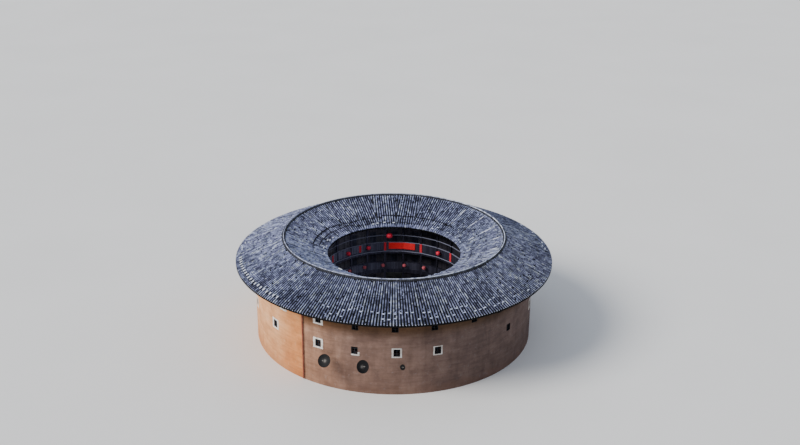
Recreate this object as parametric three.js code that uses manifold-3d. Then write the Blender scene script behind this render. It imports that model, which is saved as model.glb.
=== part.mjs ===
// A three-storey rammed-earth roundhouse: a thick ring wall, timber galleries round an open
// court, and a ring roof with one slope to the outside and one to the court.
// Millimetres, +Z up. The origin is on the ground at the centre of the court.
// Angles are in degrees from the front (-Y), positive towards the right (+X).

import * as THREE from 'three';
import { mergeVertices } from 'three/addons/utils/BufferGeometryUtils.js';
import Module from 'manifold-3d';

const wasm = await Module();
wasm.setup();

// Driving dimensions
const CLEAR = 0.3;                 // between pieces that rest on each other
const SIDES = 72;                  // facets of a masonry or roof ring
const BAYS = 24;                   // rooms round each storey
const SECTORS = 8;                 // pieces that a large ring is built in
const BAY = 360 / BAYS;
const FACET = 360 / SIDES;

const WALL_OUTER = 17000;
const WALL_TOP = 10450;
const WALL_INNER = [15700, 15850, 16000];     // the wall is thinner at each storey
const FLOOR_TOP = [150, 3500, 6250];
const FLOOR_DEPTH = 200;
const GROUND_FLOOR_PAST_POSTS = 280;          // towards the court

// The roof's faces lie at the mean height of the tiles. Of their rows only the main ones are
// ribs: on the outer slope one row of cover tiles in each facet, which is every fifth row, and
// on the inner slope the seam between two bays' fields of tiles.
const ROOF_DEPTH = 260;            // deck and tiles, measured upright
const RIDGE = { r: 13450, z: 12480 };
const OUTER_EAVE = { r: 19310, z: 9840 };
const INNER_EAVE = { r: 8140, z: 9990 };
const CAP = { half: 290, topHalf: 150, z: 12650 };
const COVER_ROW = { width: 132, height: 56, every: 5, first: 0 };
const SEAM = { width: 170, height: 60, every: 15, first: -1.4 };
const RIB = { sunk: 40, topWidth: 0.6, beforeEave: 40, beforeCap: 20 };
const PLATE = { inner: 16250, outer: 16650 };

const ROOM_FRONT = { inner: 10740, outer: 10860 };
const ROOM_DOOR = { width: 860, height: 2000, recess: 50, sill: 60 };

const POST = { inner: 9130, depth: 220, width: 220 };
const BEAM = { inner: 9150, outer: 9370, depth: 250, ledge: 230 };
const PARAPET = { inner: 9225, outer: 9285, height: 1150 };
const RAIL = { inner: 9170, outer: 9330, depth: 80 };
const POLE = { inner: 9205, outer: 9285, z: 8320, depth: 80 };
const JOINT_BEFORE_POST = 1.5;     // degrees from a post to the joint of the ring beams
const BANNER = { from: 162.2, to: 184.7, low: 6430, high: 7370, depth: 25 };

const WINDOW = { width: 760, height: 900 };
const SECOND_SILL = 4800;
const THIRD_SILL = 7800;
const SECOND_SHOWN = [-53.5, -29.75, -14.7, 1.3, 16.9, 51.4];
const THIRD_SHOWN = [-47.8, -29.6, -14.4, 0.6, 15.5, 32, 45, 60];
const FIRST_REGULAR = 75;          // from here round the back each bay has its window
const LAST_REGULAR = 285;

const GATE = { angle: 180, width: 2200, height: 2700 };
const GATE_FRAME = { jamb: 300, lintel: 350, depth: 460, proud: 60 };

const PIPE = { angle: -36.8, radius: 85, bottom: 120, top: 10350, off: 40 };
const PIPE_CLIP = { width: 230, height: 50, heights: [900, 3300, 5700, 8100] };

const SECTOR_NAMES = ['front', 'front_right', 'right', 'back_right', 'back', 'back_left',
  'left', 'front_left'];

// Reflectors on the wall: angle and height, rim diameter, and the way each one looks, as a turn
// from straight out of the wall and a tilt up from level.
const DISHES = [
  { name: 'dish_left', angle: -25.1, z: 3800, diameter: 1500, turn: 4, tilt: 30 },
  { name: 'dish_middle', angle: -11.2, z: 3850, diameter: 1500, turn: 42, tilt: 28 },
  { name: 'dish_right', angle: 3.2, z: 3680, diameter: 650, turn: 30, tilt: 30 },
];

// Their parts, the first four in rim diameters
const DISH = { fromWall: 0.62, hollow: 0.16, focus: 0.5, footDrop: 0.25, shell: 25 };
const FEED = { rod: 18, head: 45, headLength: 120 };
const ARM = { radius: 30, intoHub: 40, intoFoot: 12 };
const FOOT = { width: 260, depth: 20, height: 320 };

const rad = THREE.MathUtils.degToRad;

// Solids from three.js geometry

function solid(geometry) {
  const bare = geometry.index ? geometry.toNonIndexed() : geometry.clone();
  for (const name of Object.keys(bare.attributes)) {
    if (name !== 'position') bare.deleteAttribute(name);
  }
  const merged = mergeVertices(bare, 1e-3);
  return new wasm.Manifold(new wasm.Mesh({
    numProp: 3,
    vertProperties: new Float32Array(merged.attributes.position.array),
    triVerts: new Uint32Array(merged.index.array),
  }));
}

function union(solids) {
  return solids.reduce((joined, next) => joined.add(next));
}

function cut(body, tools) {
  return tools.reduce((left, tool) => left.subtract(tool), body);
}

// A full ring from a closed profile of [radius, height] points, listed with the outside first
// and going up. A corner of the ring stands at the angle `corner`.
function ring(profile, sides = SIDES, corner = FACET / 2) {
  const points = profile.concat([profile[0]]).map(([r, z]) => new THREE.Vector2(r, z));
  return solid(new THREE.LatheGeometry(points, sides, rad(corner)).rotateX(Math.PI / 2));
}

function flatRing(inner, outer, low, high, sides, corner) {
  return ring([[outer, low], [outer, high], [inner, high], [inner, low]], sides, corner);
}

// The timber rings run straight from post to post.
function timberRing(profile) {
  return ring(profile, BAYS, BAY / 2);
}

function timberBand(inner, outer, low, high) {
  return flatRing(inner, outer, low, high, BAYS, BAY / 2);
}

// An upright prism with one corner on the axis, to cut a ring down to one sector. Its two
// sides lie half a clearance inside the angles given.
function wedge(from, to) {
  const middle = rad((from + to) / 2);
  const half = rad((to - from) / 2);
  const reach = 2 * OUTER_EAVE.r;
  const shape = new THREE.Shape([
    new THREE.Vector2(0, 0),
    new THREE.Vector2(-reach * Math.sin(half), -reach * Math.cos(half)),
    new THREE.Vector2(reach * Math.sin(half), -reach * Math.cos(half)),
  ]);
  const depth = 2 * RIDGE.z;
  const prism = new THREE.ExtrudeGeometry(shape, { depth, bevelEnabled: false });
  const inset = CLEAR / 2 / Math.sin(half);
  return solid(prism.translate(0, -inset, -depth / 4).rotateZ(middle));
}

// A box whose middle lies at the radius, angle and height given, its depth along the radius.
function radialBox(width, depth, height, radius, angle, z) {
  const box = new THREE.BoxGeometry(width, depth, height);
  return solid(box.translate(0, -radius, z).rotateZ(rad(angle)));
}

function sectorSpan(index) {
  const width = 360 / SECTORS;
  return [(index - 0.5) * width, (index + 0.5) * width];
}

function inSpan(angle, [from, to]) {
  const turned = THREE.MathUtils.euclideanModulo(angle - from, 360);
  return turned < to - from;
}

// Heights of the roof's two faces at a radius

function slopeTop(r) {
  const eave = r > RIDGE.r ? OUTER_EAVE : INNER_EAVE;
  return eave.z + (RIDGE.z - eave.z) * (r - eave.r) / (RIDGE.r - eave.r);
}

function slopeUnder(r) {
  return slopeTop(r) - ROOF_DEPTH;
}

// The level top of a timber ring that meets the roof's underside half way between its corners
function underRoofAt(cornerRadius) {
  return slopeUnder(cornerRadius * Math.cos(rad(BAY / 2))) - CLEAR;
}

// The earth wall

function wallRing() {
  const ledges = [FLOOR_TOP[1] - FLOOR_DEPTH, FLOOR_TOP[2] - FLOOR_DEPTH];
  return ring([
    [WALL_OUTER, 0],
    [WALL_OUTER, WALL_TOP],
    [WALL_INNER[2], WALL_TOP],
    [WALL_INNER[2], ledges[1]],
    [WALL_INNER[1], ledges[1]],
    [WALL_INNER[1], ledges[0]],
    [WALL_INNER[0], ledges[0]],
    [WALL_INNER[0], 0],
  ]);
}

function windowPlaces() {
  const regular = [];
  for (let angle = FIRST_REGULAR; angle <= LAST_REGULAR; angle += BAY) regular.push(angle);
  return [
    ...SECOND_SHOWN.concat(regular).map((angle) => ({ angle, sill: SECOND_SILL })),
    ...THIRD_SHOWN.concat(regular).map((angle) => ({ angle, sill: THIRD_SILL })),
  ];
}

function windowCut({ angle, sill }) {
  const depth = 2 * (WALL_OUTER - WALL_INNER[0]);
  const middle = (WALL_OUTER + WALL_INNER[0]) / 2;
  return radialBox(WINDOW.width, depth, WINDOW.height, middle, angle, sill + WINDOW.height / 2);
}

function gateCuts() {
  const low = FLOOR_TOP[0];
  const depth = 2 * (WALL_OUTER - WALL_INNER[0]);
  const middle = (WALL_OUTER + WALL_INNER[0]) / 2;
  const passage = radialBox(GATE.width, depth, GATE.height, middle, GATE.angle,
    low + GATE.height / 2);
  const width = GATE.width + 2 * (GATE_FRAME.jamb + CLEAR);
  const height = GATE.height + GATE_FRAME.lintel + CLEAR;
  const seat = radialBox(width, 2 * GATE_FRAME.depth, height, WALL_OUTER, GATE.angle,
    low + height / 2);
  return [passage, seat];
}

function wallSector(index) {
  const span = sectorSpan(index);
  const body = wallRing().intersect(wedge(...span));
  const windows = windowPlaces().filter((place) => inSpan(place.angle, span)).map(windowCut);
  const gate = inSpan(GATE.angle, span) ? gateCuts() : [];
  return cut(body, windows.concat(gate));
}

function wallPlate() {
  return ring([
    [PLATE.outer, WALL_TOP + CLEAR],
    [PLATE.outer, slopeUnder(PLATE.outer) - CLEAR],
    [PLATE.inner, slopeUnder(PLATE.inner) - CLEAR],
    [PLATE.inner, WALL_TOP + CLEAR],
  ]);
}

// Two stone jambs and a lintel, set in the outer part of the gateway
function gateFrame() {
  const { jamb, lintel, depth, proud } = GATE_FRAME;
  const inner = GATE.width / 2;
  const outer = inner + jamb;
  const foot = FLOOR_TOP[0] + CLEAR;
  const head = FLOOR_TOP[0] + GATE.height;
  const outline = [[-outer, foot], [-inner, foot], [-inner, head], [inner, head],
    [inner, foot], [outer, foot], [outer, head + lintel], [-outer, head + lintel]];
  const shape = new THREE.Shape(outline.map(([x, z]) => new THREE.Vector2(x, z)));
  const frame = new THREE.ExtrudeGeometry(shape, { depth, bevelEnabled: false });
  frame.rotateX(Math.PI / 2).translate(0, depth - WALL_OUTER - proud, 0);
  return solid(frame.rotateZ(rad(GATE.angle)));
}

// Floors and the timber fronts of the rooms

function groundFloor() {
  const inner = POST.inner - GROUND_FLOOR_PAST_POSTS;
  return flatRing(inner, WALL_INNER[0] - CLEAR, 0, FLOOR_TOP[0]);
}

function upperFloor(storey) {
  const high = FLOOR_TOP[storey];
  const low = high - FLOOR_DEPTH + CLEAR;
  const boards = flatRing(BEAM.inner, WALL_INNER[storey] - CLEAR, low, high);
  const court = timberBand(BEAM.inner / 2, BEAM.outer + CLEAR, 0, 2 * high);
  return boards.subtract(court);
}

function roomFront(storey) {
  const low = FLOOR_TOP[storey] + CLEAR;
  const { inner, outer } = ROOM_FRONT;
  const high = storey < 2 ? FLOOR_TOP[storey + 1] - FLOOR_DEPTH : underRoofAt(inner);
  const face = inner * Math.cos(rad(BAY / 2));
  const tools = [];
  for (let bay = 0; bay < BAYS; bay += 1) {
    if (storey === 0 && bay * BAY === GATE.angle) continue;
    tools.push(radialBox(ROOM_DOOR.width, 2 * ROOM_DOOR.recess, ROOM_DOOR.height, face,
      bay * BAY, low + ROOM_DOOR.sill + ROOM_DOOR.height / 2));
  }
  if (storey === 0) {
    tools.push(radialBox(GATE.width, inner / 2, 2 * GATE.height, inner, GATE.angle, low));
  }
  return cut(timberBand(inner, outer, low, high), tools);
}

// The galleries: posts from the ground to the eave, the ring beams that carry the floors,
// and the parapets, rails and clothes pole between the posts

function edgeBeam(storey) {
  const top = FLOOR_TOP[storey];
  const seat = top - FLOOR_DEPTH;
  const low = seat - BEAM.depth;
  return timberRing([
    [BEAM.outer + BEAM.ledge, low],
    [BEAM.outer + BEAM.ledge, seat],
    [BEAM.outer, seat],
    [BEAM.outer, top],
    [BEAM.inner, top],
    [BEAM.inner, low],
  ]);
}

function parapet(storey) {
  const top = FLOOR_TOP[storey] + PARAPET.height;
  const foot = FLOOR_TOP[storey] - BEAM.depth / 2;
  const board = timberBand(PARAPET.inner, PARAPET.outer, foot, top - RAIL.depth / 2);
  return board.add(timberBand(RAIL.inner, RAIL.outer, top - RAIL.depth, top));
}

function eaveBeam() {
  const top = underRoofAt(BEAM.inner);
  return timberBand(BEAM.inner, BEAM.outer, top - BEAM.depth, top);
}

function post(angle) {
  const low = FLOOR_TOP[0] + CLEAR;
  const high = underRoofAt(BEAM.inner) - BEAM.depth / 2;
  return radialBox(POST.width, POST.depth, high - low, POST.inner + POST.depth / 2, angle,
    (low + high) / 2);
}

function gallerySector(index) {
  const [from, to] = sectorSpan(index).map((angle) => angle - JOINT_BEFORE_POST);
  const pole = timberBand(POLE.inner, POLE.outer, POLE.z, POLE.z + POLE.depth);
  const rings = union([edgeBeam(1), parapet(1), edgeBeam(2), parapet(2), pole, eaveBeam()]);
  const posts = [];
  for (let angle = from + JOINT_BEFORE_POST; angle < to; angle += BAY) posts.push(post(angle));
  return union([rings.intersect(wedge(from, to)), ...posts]);
}

// A cloth hung in front of the third storey's parapet
function banner() {
  const outer = POST.inner - CLEAR;
  const cloth = timberBand(outer - BANNER.depth, outer, BANNER.low, BANNER.high);
  return cloth.intersect(wedge(BANNER.from, BANNER.to));
}

// The roof

// A rib on a slope, from one distance to a larger one along the middle of a flat facet
function slopeRib({ width, height }, near, far) {
  const toCorner = Math.cos(rad(FACET / 2));
  const [start, end] = [near, far].map((y) => new THREE.Vector3(0, -y, slopeTop(y / toCorner)));
  const along = new THREE.Vector3().subVectors(end, start);
  const [foot, top] = [width / 2, RIB.topWidth * width / 2];
  const section = new THREE.Shape([
    new THREE.Vector2(-foot, -RIB.sunk),
    new THREE.Vector2(foot, -RIB.sunk),
    new THREE.Vector2(top, height),
    new THREE.Vector2(-top, height),
  ]);
  const rib = new THREE.ExtrudeGeometry(section, { depth: along.length(), bevelEnabled: false });
  const aside = new THREE.Vector3(1, 0, 0);
  along.normalize();
  const up = new THREE.Vector3().crossVectors(along, aside);
  return rib.applyMatrix4(new THREE.Matrix4().makeBasis(aside, up, along).setPosition(start));
}

function ribs(spec, near, far) {
  const turned = [];
  for (let angle = spec.first; angle < spec.first + 360; angle += spec.every) {
    turned.push(solid(slopeRib(spec, near, far).rotateZ(rad(angle))));
  }
  return turned;
}

function outerSlope() {
  const low = RIDGE.r + CLEAR / 2;
  const slab = ring([
    [OUTER_EAVE.r, slopeUnder(OUTER_EAVE.r)],
    [OUTER_EAVE.r, OUTER_EAVE.z],
    [low, slopeTop(low)],
    [low, slopeUnder(low)],
  ]);
  const eave = OUTER_EAVE.r * Math.cos(rad(FACET / 2));
  const rows = ribs(COVER_ROW, RIDGE.r + CAP.half + RIB.beforeCap, eave - RIB.beforeEave);
  return union([slab, ...rows]);
}

function innerSlope() {
  const high = RIDGE.r - CLEAR / 2;
  const slab = ring([
    [high, slopeUnder(high)],
    [high, slopeTop(high)],
    [INNER_EAVE.r, INNER_EAVE.z],
    [INNER_EAVE.r, slopeUnder(INNER_EAVE.r)],
  ]);
  const eave = INNER_EAVE.r + RIB.beforeEave;
  return union([slab, ...ribs(SEAM, eave, RIDGE.r - CAP.half - RIB.beforeCap)]);
}

function ridgeCap() {
  const { half, topHalf, z } = CAP;
  const foot = (r) => [r, slopeTop(r) + CLEAR];
  return ring([
    foot(RIDGE.r + half),
    [RIDGE.r + topHalf, z],
    [RIDGE.r - topHalf, z],
    foot(RIDGE.r - half),
    [RIDGE.r, RIDGE.z + CLEAR],
  ]);
}

// The drainpipe and the reflectors on the wall's outer face

// The flat facet of the wall under an angle: the way it faces, how far along it the angle
// lies, and its distance from the axis.
function facetAt(angle) {
  const turn = Math.round(angle / FACET) * FACET;
  const distance = WALL_OUTER * Math.cos(rad(FACET / 2));
  return { turn, distance, along: distance * Math.tan(rad(angle - turn)) };
}

function onWall(geometry, angle, z) {
  const { turn, distance, along } = facetAt(angle);
  return solid(geometry.translate(along, -distance - CLEAR, z).rotateZ(rad(turn)));
}

function drainpipe() {
  const { angle, radius, bottom, top, off } = PIPE;
  const tube = new THREE.CylinderGeometry(radius, radius, top - bottom, 16);
  tube.rotateX(Math.PI / 2).translate(0, -off - radius, 0);
  const reach = off + radius;
  const clips = PIPE_CLIP.heights.map((z) => {
    const clip = new THREE.BoxGeometry(PIPE_CLIP.width, reach, PIPE_CLIP.height);
    return onWall(clip.translate(0, -reach / 2, 0), angle, z);
  });
  return union([onWall(tube, angle, (top + bottom) / 2), ...clips]);
}

// A shallow bowl with its back at the origin, opening along -Y
function bowl(diameter) {
  const rim = diameter / 2;
  const rise = (r) => DISH.hollow * diameter * (r / rim) ** 2;
  const steps = [0.4, 0.75, 1].map((part) => part * rim);
  const points = [
    new THREE.Vector2(0, 0),
    ...steps.map((r) => new THREE.Vector2(r, rise(r))),
    ...steps.toReversed().map((r) => new THREE.Vector2(r, rise(r) + DISH.shell)),
    new THREE.Vector2(0, DISH.shell),
  ];
  return new THREE.LatheGeometry(points, 16).rotateX(Math.PI);
}

function rod(radius, from, to) {
  const way = new THREE.Vector3().subVectors(to, from);
  const geometry = new THREE.CylinderGeometry(radius, radius, way.length(), 8);
  const turn = new THREE.Quaternion().setFromUnitVectors(new THREE.Vector3(0, 1, 0),
    way.clone().normalize());
  const middle = new THREE.Vector3().addVectors(from, to).multiplyScalar(0.5);
  return geometry.applyQuaternion(turn).translate(middle.x, middle.y, middle.z);
}

// The bowl with its feed rod, on an arm from a foot plate on the wall
function dish({ angle, z, diameter, turn, tilt }) {
  const pose = new THREE.Matrix4().makeRotationFromEuler(
    new THREE.Euler(-rad(tilt), 0, rad(turn), 'ZXY'));
  pose.setPosition(0, -DISH.fromWall * diameter, 0);
  const hub = new THREE.Vector3(0, ARM.intoHub, 0);
  const focus = new THREE.Vector3(0, -DISH.focus * diameter, 0);
  const headEnd = focus.clone().setY(focus.y + FEED.headLength);
  const held = [bowl(diameter), rod(FEED.rod, hub, focus), rod(FEED.head, focus, headEnd)];
  const foot = new THREE.Vector3(0, -ARM.intoFoot, -DISH.footDrop * diameter);
  const plate = new THREE.BoxGeometry(FOOT.width, FOOT.depth, FOOT.height);
  const fixed = [
    plate.translate(0, -FOOT.depth / 2, foot.z),
    rod(ARM.radius, foot, hub.clone().applyMatrix4(pose)),
  ];
  const parts = held.map((part) => part.applyMatrix4(pose)).concat(fixed);
  return union(parts.map((part) => onWall(part, angle, z)));
}

// Finishes and the assembly

function finish(color, roughness, metalness = 0) {
  return () => new THREE.MeshStandardMaterial({ color, roughness, metalness });
}

const FINISHES = {
  earth: finish(0xb9895c, 0.95),
  tile: finish(0x3c434f, 0.8),
  ridge: finish(0x8b8f94, 0.85),
  timber: finish(0x2c2f30, 0.8),
  boards: finish(0x5b4632, 0.85),
  stone: finish(0x7d7a74, 0.9),
  paint: finish(0x7a3a22, 0.6),
  reflector: finish(0x2e3032, 0.5, 0.4),
  cloth: finish(0x9c2430, 0.9),
};

const house = new THREE.Group();

function place(name, body, material) {
  const { vertProperties, triVerts } = body.getMesh();
  const geometry = new THREE.BufferGeometry();
  geometry.setAttribute('position', new THREE.BufferAttribute(vertProperties, 3));
  geometry.setIndex(new THREE.BufferAttribute(triVerts, 1));
  geometry.computeVertexNormals();
  const mesh = new THREE.Mesh(geometry, FINISHES[material]());
  mesh.name = name;
  house.add(mesh);
}

const outerRoof = outerSlope();
const innerRoof = innerSlope();
SECTOR_NAMES.forEach((name, index) => {
  const sector = wedge(...sectorSpan(index));
  place(`wall_${name}`, wallSector(index), 'earth');
  place(`gallery_${name}`, gallerySector(index), 'timber');
  place(`roof_outer_${name}`, outerRoof.intersect(sector), 'tile');
  place(`roof_inner_${name}`, innerRoof.intersect(sector), 'tile');
});

place('wall_plate', wallPlate(), 'boards');
place('gate_frame', gateFrame(), 'stone');
place('ground_floor', groundFloor(), 'stone');
place('second_floor', upperFloor(1), 'boards');
place('third_floor', upperFloor(2), 'boards');
place('ground_room_front', roomFront(0), 'timber');
place('second_room_front', roomFront(1), 'timber');
place('third_room_front', roomFront(2), 'timber');
place('ridge_cap', ridgeCap(), 'ridge');
place('banner', banner(), 'cloth');
place('drainpipe', drainpipe(), 'paint');
DISHES.forEach((spec) => place(spec.name, dish(spec), 'reflector'));

export default house;
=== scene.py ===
# %% [markdown]
# # A rammed-earth roundhouse
# The real building is one thick ring of rammed earth, three storeys high, round an open court.
# Timber galleries face the court, and one tiled ring roof covers wall and galleries together.
# The plain solids of every part are loaded first, and each cell then dresses one part of the
# house: it either gives a solid a better material or puts a finer piece in its place.

# %% Load the frame
import math
from functools import partial

import bmesh
import bpy
import numpy as np
from mathutils import Matrix, Vector, noise


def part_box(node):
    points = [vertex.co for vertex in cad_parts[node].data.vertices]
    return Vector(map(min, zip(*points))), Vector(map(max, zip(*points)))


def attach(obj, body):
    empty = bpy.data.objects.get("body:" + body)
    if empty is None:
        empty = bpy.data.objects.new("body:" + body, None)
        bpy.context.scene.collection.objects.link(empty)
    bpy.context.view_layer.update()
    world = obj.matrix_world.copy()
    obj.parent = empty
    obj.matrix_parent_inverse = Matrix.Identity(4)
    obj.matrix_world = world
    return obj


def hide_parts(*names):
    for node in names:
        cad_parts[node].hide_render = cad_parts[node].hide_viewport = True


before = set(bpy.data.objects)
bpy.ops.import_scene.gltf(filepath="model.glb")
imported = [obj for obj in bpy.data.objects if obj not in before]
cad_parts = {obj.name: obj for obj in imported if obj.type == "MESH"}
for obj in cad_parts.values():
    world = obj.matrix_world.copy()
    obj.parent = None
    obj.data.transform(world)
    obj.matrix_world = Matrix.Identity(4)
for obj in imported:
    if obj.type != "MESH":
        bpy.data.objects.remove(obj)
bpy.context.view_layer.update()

# %% [markdown]
# ## Sizes
# The house is round, so nearly every place on it is an angle, a distance from the middle of the
# court and a height. Angles are in degrees from the front (-Y), positive towards the right.
# The solids are rings of flat facets. A finer round piece has the radius of a facet's middle,
# so that it never stands outside the solid that it belongs to.

# %% Sizes in metres
SECTORS = ("front", "front_right", "right", "back_right", "back", "back_left", "left",
           "front_left")
SECTOR = 360 / len(SECTORS)
BAYS = 24
BAY = 360 / BAYS                              # degrees from post to post
ROUND_STEPS = 240                             # steps of a ring that goes round the house
WALL_R = -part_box("wall_front")[0][1] + 0.006  # a facet's middle, and a third of its bulge
WALL_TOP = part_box("wall_front")[1][2]
WALL_INNER = (15.70, 15.85, 16.00)            # the wall is thinner at each storey
LEDGES = (3.30, 6.05)
SECOND_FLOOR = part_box("second_floor")[1][2]
THIRD_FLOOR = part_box("third_floor")[1][2]

RIDGE = (13.45, 12.48)                        # radius and height of the roof's faces
OUTER_EAVE = (19.31, 9.84)
INNER_EAVE = (8.14, 9.99)
ROOF_DEPTH = 0.26
EAVE_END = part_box("roof_outer_right")[1][0] - 0.006

# The galleries run straight from post to post. These are the radii of their corners.
PARAPET_CORNER, RAIL_CORNER, BANNER_CORNER, ROOM_CORNER = 9.225, 9.170, 9.1165, 10.740


def deck_top(r):
    """Height of the roof's upper face at a distance from the axis."""
    eave = OUTER_EAVE if r > RIDGE[0] else INNER_EAVE
    return eave[1] + (RIDGE[1] - eave[1]) * (r - eave[0]) / (RIDGE[0] - eave[0])


def turned(angle):
    """The turn that takes the front of the house to an angle."""
    return Matrix.Rotation(math.radians(angle), 4, "Z")


def at(angle, r, z):
    return turned(angle) @ Vector((0, -r, z))


def bay_middle(angle):
    """The angle of the middle of the bay that an angle lies in."""
    return round(angle / BAY) * BAY


def along_bay(corner, angle):
    """How far from the axis a bay's straight edge lies at an angle, from its corners' radius."""
    aside = math.radians(angle - bay_middle(angle))
    return corner * math.cos(math.radians(BAY / 2)) / math.cos(aside)


PARAPET_FACE, ROOM_FACE = along_bay(PARAPET_CORNER, 0), along_bay(ROOM_CORNER, 0)
print("wall radius", round(WALL_R, 3), "eave", round(EAVE_END, 3), "rooms", round(ROOM_FACE, 3))

# %% [markdown]
# ## The camera
# The photograph looks down on the house from a hillside far away, with a long lens. Fitting four
# known circles of the house to the picture gave the distance, the height above the horizon and
# the lens. The picture isn't centred on the house, so the camera is turned a little aside, and
# no lens shift is needed.

# %% Camera
DISTANCE, ELEVATION = 137.0, math.radians(27.47)
LENS_PIXELS, PICTURE_WIDTH = 1079.0, 800
ASIDE, UPWARDS, ROLL = (math.radians(a) for a in (0.302, 5.384, 0.56))

place = Vector((0, -DISTANCE * math.cos(ELEVATION), DISTANCE * math.sin(ELEVATION)))
ahead = -place.normalized()
right = Vector((1, 0, 0))
above = right.cross(ahead)
ahead = (ahead * math.cos(UPWARDS) * math.cos(ASIDE) + right * math.sin(ASIDE)
         * math.cos(UPWARDS) + above * math.sin(UPWARDS)).normalized()
right = ahead.cross(Vector((0, 0, 1))).normalized()
above = right.cross(ahead)
right, above = (right * math.cos(ROLL) + above * math.sin(ROLL),
                above * math.cos(ROLL) - right * math.sin(ROLL))

lens = bpy.data.cameras.new("hillside_camera")
lens.sensor_width = 36
lens.lens = LENS_PIXELS * lens.sensor_width / PICTURE_WIDTH
lens.clip_start, lens.clip_end = 1, 3000
camera = bpy.data.objects.new("hillside_camera", lens)
camera.matrix_world = (Matrix.Translation(place)
                       @ Matrix((right, above, -ahead)).transposed().to_4x4())
bpy.context.scene.collection.objects.link(camera)
bpy.context.scene.camera = camera
print("lens", round(lens.lens, 2), "mm")

# %% [markdown]
# ## Helpers for nodes
# Colours are written as the sRGB hex values that a paint chart gives, and shaders need them
# linear. One helper adds a node with its settings and its links, so a finish reads as a list of
# steps, from where a point is to what colour it has and how it is raised.

# %% Colour and node helpers
def linear(hex_value):
    """An sRGB hex colour as linear red, green, blue and alpha."""
    parts = [int(hex_value[i:i + 2], 16) / 255 for i in (1, 3, 5)]
    return [c / 12.92 if c <= 0.04045 else ((c + 0.055) / 1.055) ** 2.4 for c in parts] + [1]


def join(value, socket):
    """Link a node's output to a socket, or set it to a number, a vector or a hex colour."""
    if isinstance(value, bpy.types.NodeSocket):
        socket.id_data.links.new(value, socket)
    else:
        socket.default_value = linear(value) if isinstance(value, str) else value


def add_node(tree, kind, *values, stops=(), take=None, **named):
    """Add a node with its settings and links, and return its first output or the one to take.

    The values go to its open inputs in turn. A name with a capital is an input, and another
    is a setting. The stops are a colour ramp's positions and colours.
    """
    node = tree.nodes.new("ShaderNode" + kind)
    for name in [name for name in named if name[0].islower()]:
        setattr(node, name, named.pop(name))
    for value, socket in zip(values, [socket for socket in node.inputs if socket.enabled]):
        join(value, socket)
    for name, value in named.items():
        join(value, node.inputs[name.replace("_", " ")])
    if stops:
        marks = node.color_ramp.elements
        while len(marks) < len(stops):
            marks.new(0.5)
        for mark, (position, colour) in zip(marks, stops):
            mark.position, mark.color = position, linear(colour)
    return node.outputs[take] if take else next(out for out in node.outputs if out.enabled)


OVER = {"data_type": "RGBA"}                  # settings of a Mix node that lays a colour over
TINT = {"data_type": "RGBA", "blend_type": "MULTIPLY"}     # and of one that darkens by it
SOFT = {"interpolation_type": "SMOOTHSTEP"}   # settings of a Map Range without hard ends


def material(name, roughness, look, **constants):
    """A new material. Its look is a function that adds nodes and returns colour and normal."""
    made = bpy.data.materials.new(name)
    made.use_nodes = True
    shader = made.node_tree.nodes["Principled BSDF"]
    shader.inputs["Roughness"].default_value = roughness
    for key, value in constants.items():
        shader.inputs[key.replace("_", " ")].default_value = value
    for key, output in zip(("Base Color", "Normal"), look(partial(add_node, made.node_tree))):
        join(output, shader.inputs[key])
    print(f"{name}: {len(made.node_tree.nodes)} nodes")
    return made


def round_the_house(add):
    """Object coordinates, and the angle, distance and height that they mean."""
    here = add("TexCoord", take="Object")
    x, y, z = add("SeparateXYZ", here).node.outputs
    angle = add("Math", x, add("Math", y, -1.0, operation="MULTIPLY"), operation="ARCTAN2")
    distance = add("VectorMath", add("CombineXYZ", x, y), operation="LENGTH")
    return here, angle, distance, z


print("middle grey #808080 is", round(linear("#808080")[0], 3), "in linear light")

# %% [markdown]
# ## Helpers for pieces
# Each piece is shaped as a bmesh, and one helper turns it into a named object that belongs to
# the house. What repeats round the house is made once at the front and then turned or copied.

# %% Piece helpers
def shade(bm, sharp=35):
    """Smooth faces, with a hard edge where two faces meet at more than an angle."""
    for face in bm.faces:
        face.smooth = True
    for edge in bm.edges:
        edge.smooth = edge.calc_face_angle(0) < math.radians(sharp)


def placed(name, bm, finish=None):
    """An object in the scene with the bmesh as its mesh. The bmesh is used up."""
    mesh = bpy.data.meshes.new(name)
    bm.to_mesh(mesh)
    bm.free()
    if finish:
        mesh.materials.append(finish)
    made = bpy.data.objects.new(name, mesh)
    bpy.context.scene.collection.objects.link(made)
    return made


def piece(name, bm, finish, slot, *nodes):
    """Turn a bmesh into a piece of the house, in place of the nodes that it stands for."""
    made = placed(name, bm, finish)
    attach(made, "root")
    if nodes:
        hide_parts(*nodes)
    triangles = sum(len(face.vertices) - 2 for face in made.data.polygons)
    print(f"{name}: {triangles} triangles")
    return made


def add_box(bm, size, centre, turn=None):
    """A box in the bmesh, its size and centre in metres before the turn."""
    box = bmesh.ops.create_cube(bm, size=1)["verts"]
    bmesh.ops.scale(bm, verts=box, vec=size)
    bmesh.ops.translate(bm, verts=box, vec=centre)
    if turn is not None:
        bmesh.ops.transform(bm, verts=box, matrix=turn)
    return box


def repeat(bm, turns, angle):
    """Turn copies of everything round the axis: as many in all as turns, an angle apart."""
    bmesh.ops.spin(bm, geom=bm.verts[:] + bm.edges[:] + bm.faces[:], cent=(0, 0, 0),
                   axis=(0, 0, 1), angle=math.radians(angle) * (turns - 1), steps=turns - 1,
                   use_duplicate=True)


def copies(bm, places):
    """Replace everything by one copy at each place, a 4x4 matrix."""
    first = bm.verts[:] + bm.edges[:] + bm.faces[:]
    for matrix in places:
        copy = bmesh.ops.duplicate(bm, geom=first)["geom"]
        verts = [part for part in copy if isinstance(part, bmesh.types.BMVert)]
        bmesh.ops.transform(bm, verts=verts, matrix=matrix)
    bmesh.ops.delete(bm, geom=[v for v in first if isinstance(v, bmesh.types.BMVert)],
                     context="VERTS")


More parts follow.
